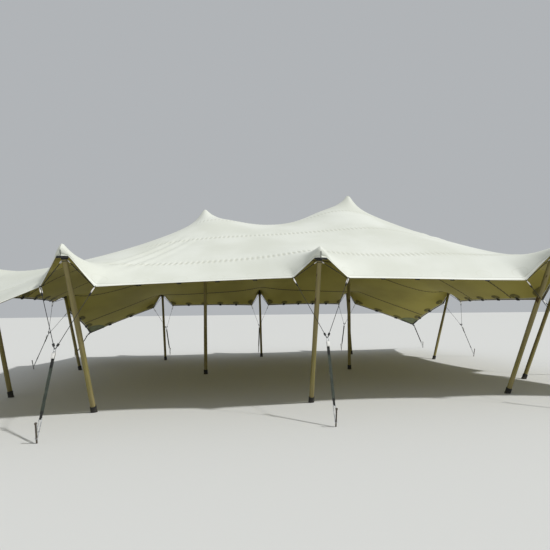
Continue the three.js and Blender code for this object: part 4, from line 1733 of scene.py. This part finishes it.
def add_ratchet(guy, flat):
    """Two side plates with spools between them, and a handle over them."""
    for side in (-1, 1):
        for (*size, aside, lift), slot in ((SIDE_PLATE, STEEL_SLOT), (HANDLE_ARM, BRIGHT_SLOT)):
            guy.add(plate(*size, side * aside, lift), flat, slot)
    guy.add(plate(*HANDLE_GRIP), flat, BRIGHT_SLOT)
    for place, radius in SPOOLS:
        spool = rod(radius, -SPOOL_HALF_LENGTH, SPOOL_HALF_LENGTH, 14)
        quarter_turn(spool)
        move(spool, place, 0, SPOOL_LIFT)
        guy.add(spool, flat, STEEL_SLOT)


def add_stake(guy, foot, outward):
    """A steel rod with a hammered head that leans away from the pull."""
    top = foot + outward * STAKE_LEAN + Vector((0, 0, STAKE_HEIGHT))
    below = foot - outward * STAKE_LEAN / 2 - Vector((0, 0, STAKE_HEIGHT / 2))
    place = between(below, top)
    end = (top - below).length
    head = [(STAKE_RADIUS + out, end + z) for out, z in STAKE_HEAD] + [(0, end + 0.001)]
    stake = turned([(0, 0), (STAKE_RADIUS, 0), (STAKE_RADIUS, end / 2)] + head, 16)
    guy.add(cut_level(stake, place), place, STAKE_SLOT)
    hitch = foot + outward * STAKE_LEAN * HITCH_HEIGHT / STAKE_HEIGHT + Vector((0, 0, HITCH_HEIGHT))
    loop = collar(STAKE_RADIUS + HITCH_RADIUS, HITCH_RADIUS, (hitch - below).length)
    guy.add(loop, place, STEEL_SLOT)
    return hitch


def add_strap(guy, junction, hitch, padded):
    """Ring, ratchet, sleeve, strap and hook from the junction down to the stake."""
    length = (hitch - junction).length
    place, flat = between(junction, hitch), between(junction, hitch, "X")
    loop_start = length - HOOK_LENGTH - END_LOOP_LENGTH
    guy.add(ring(*JUNCTION_RING), place, STEEL_SLOT)
    add_ratchet(guy, flat)
    webbing = strip(STRAP_WIDTH, STRAP_THICKNESS, SPOOLS[0][0], loop_start + STRAP_IN_LOOP)
    guy.add(webbing, flat, STRAP_SLOT if padded else BLACK_SLOT)
    if padded:
        guy.add(plate(*PADDED_SLEEVE), flat, BLACK_SLOT)
    loop_end = length - HOOK_LENGTH + HOOK_IN_LOOP
    guy.add(plate(*END_LOOP_SIZE, loop_start, loop_end, END_LOOP_ROUNDING), flat, BLACK_SLOT)
    guy.add(ring(*LONG_HOOK, length - LONG_HOOK_FROM_END), place, STEEL_SLOT)
    guy.add(ring(*STAKE_HOOK, length - STAKE_HOOK_FROM_END), place, STEEL_SLOT)


def add_pole_guy(name):
    pole = EDGE_POLES[name]
    outward = Vector((*outward_of(pole.eye), 0))
    stake_foot = Vector((pole.stake, outward.y * ROW_STAKE_Y, 0))
    if outward.x:
        stake_foot = Vector((outward.x * SIDE_STAKE_X, pole.stake, 0))
    guy = Piece()
    hitch = add_stake(guy, stake_foot, outward)
    eyes = [hem_point(pole.eye, step) for step in (-1, 1)]
    junction = ((eyes[0] + eyes[1]) / 2).lerp(hitch, JUNCTION_SHARE)
    for end in eyes:
        add_eye_rope(guy, end, junction)
    add_strap(guy, junction, hitch, True)
    return guy.finish(f"strap_guy_{name}", GUY_LOOKS, "guy_webbing", [f"guy_{name}"])


pole_guys = [add_pole_guy(name) for name in EDGE_POLES]
print("guys of the edge poles:", len(pole_guys))

# %% [markdown]
# ## Corner tie-downs
#
# At each corner two wide webbing bands are sewn round the hem, one along each side. They meet in a
# ring just outside the corner, and a strap pulls the ring down to a stake.

# %% Webbing bands and strap at each corner
BAND_WIDTH = 0.05
BAND_THICKNESS = 0.004
BAND_STEP = 0.04
BAND_INSET = 0.03
LONG_BAND = 0.5
SHORT_BAND = 0.45
MIDDLE_BAND = 0.2
SIDE_BAND_LIFTS = (0.0085, -0.024)
MIDDLE_BAND_LIFTS = (0.011, -0.018)
RING_FROM_CORNER = 0.1


def add_bands(guy, start, along, aside, length, lifts):
    """Webbing bands over and under the cloth, from a place on it and in a direction."""
    for lift in lifts:
        band = strip(BAND_WIDTH, BAND_THICKNESS, 0, length, lift, BAND_STEP)
        guy.add(band, on_cloth(start, along, aside), BLACK_SLOT)


def add_corner_guy(name, u, v):
    inward = Vector((-1 if u else 1, -1 if v else 1, 0)).normalized()
    across = Vector((-inward.y, inward.x, 0))
    along_long = Vector((math.copysign(1, inward.x), 0, 0))
    along_short = Vector((0, math.copysign(1, inward.y), 0))
    edge = Vector((u, v, 0))
    meeting = edge - inward * RING_FROM_CORNER
    guy = Piece()
    add_bands(guy, edge + along_short * BAND_INSET, along_long, along_short, LONG_BAND, SIDE_BAND_LIFTS)
    add_bands(guy, edge + along_long * BAND_INSET, along_short, along_long, SHORT_BAND, SIDE_BAND_LIFTS)
    add_bands(guy, meeting, inward, across, MIDDLE_BAND, MIDDLE_BAND_LIFTS)
    corner = cloth_point(u, v)
    outward = Vector((math.copysign(1, corner.x), math.copysign(1, corner.y), 0))
    stake_foot = Vector((outward.x * SIDE_STAKE_X, outward.y * CORNER_STAKE_Y, 0))
    hitch = add_stake(guy, stake_foot, outward.normalized())
    add_strap(guy, cloth_point(meeting.x, meeting.y), hitch, False)
    return guy.finish(f"corner_strap_{name}", GUY_LOOKS, "guy_webbing", [f"guy_{name}_corner"])


CORNERS = {
    "front_left": (0, 0),
    "front_right": (CLOTH_LENGTH, 0),
    "back_left": (0, CLOTH_WIDTH),
    "back_right": (CLOTH_LENGTH, CLOTH_WIDTH),
}
corner_guys = [add_corner_guy(name, *place) for name, place in CORNERS.items()]
print("corner tie-downs:", len(corner_guys))
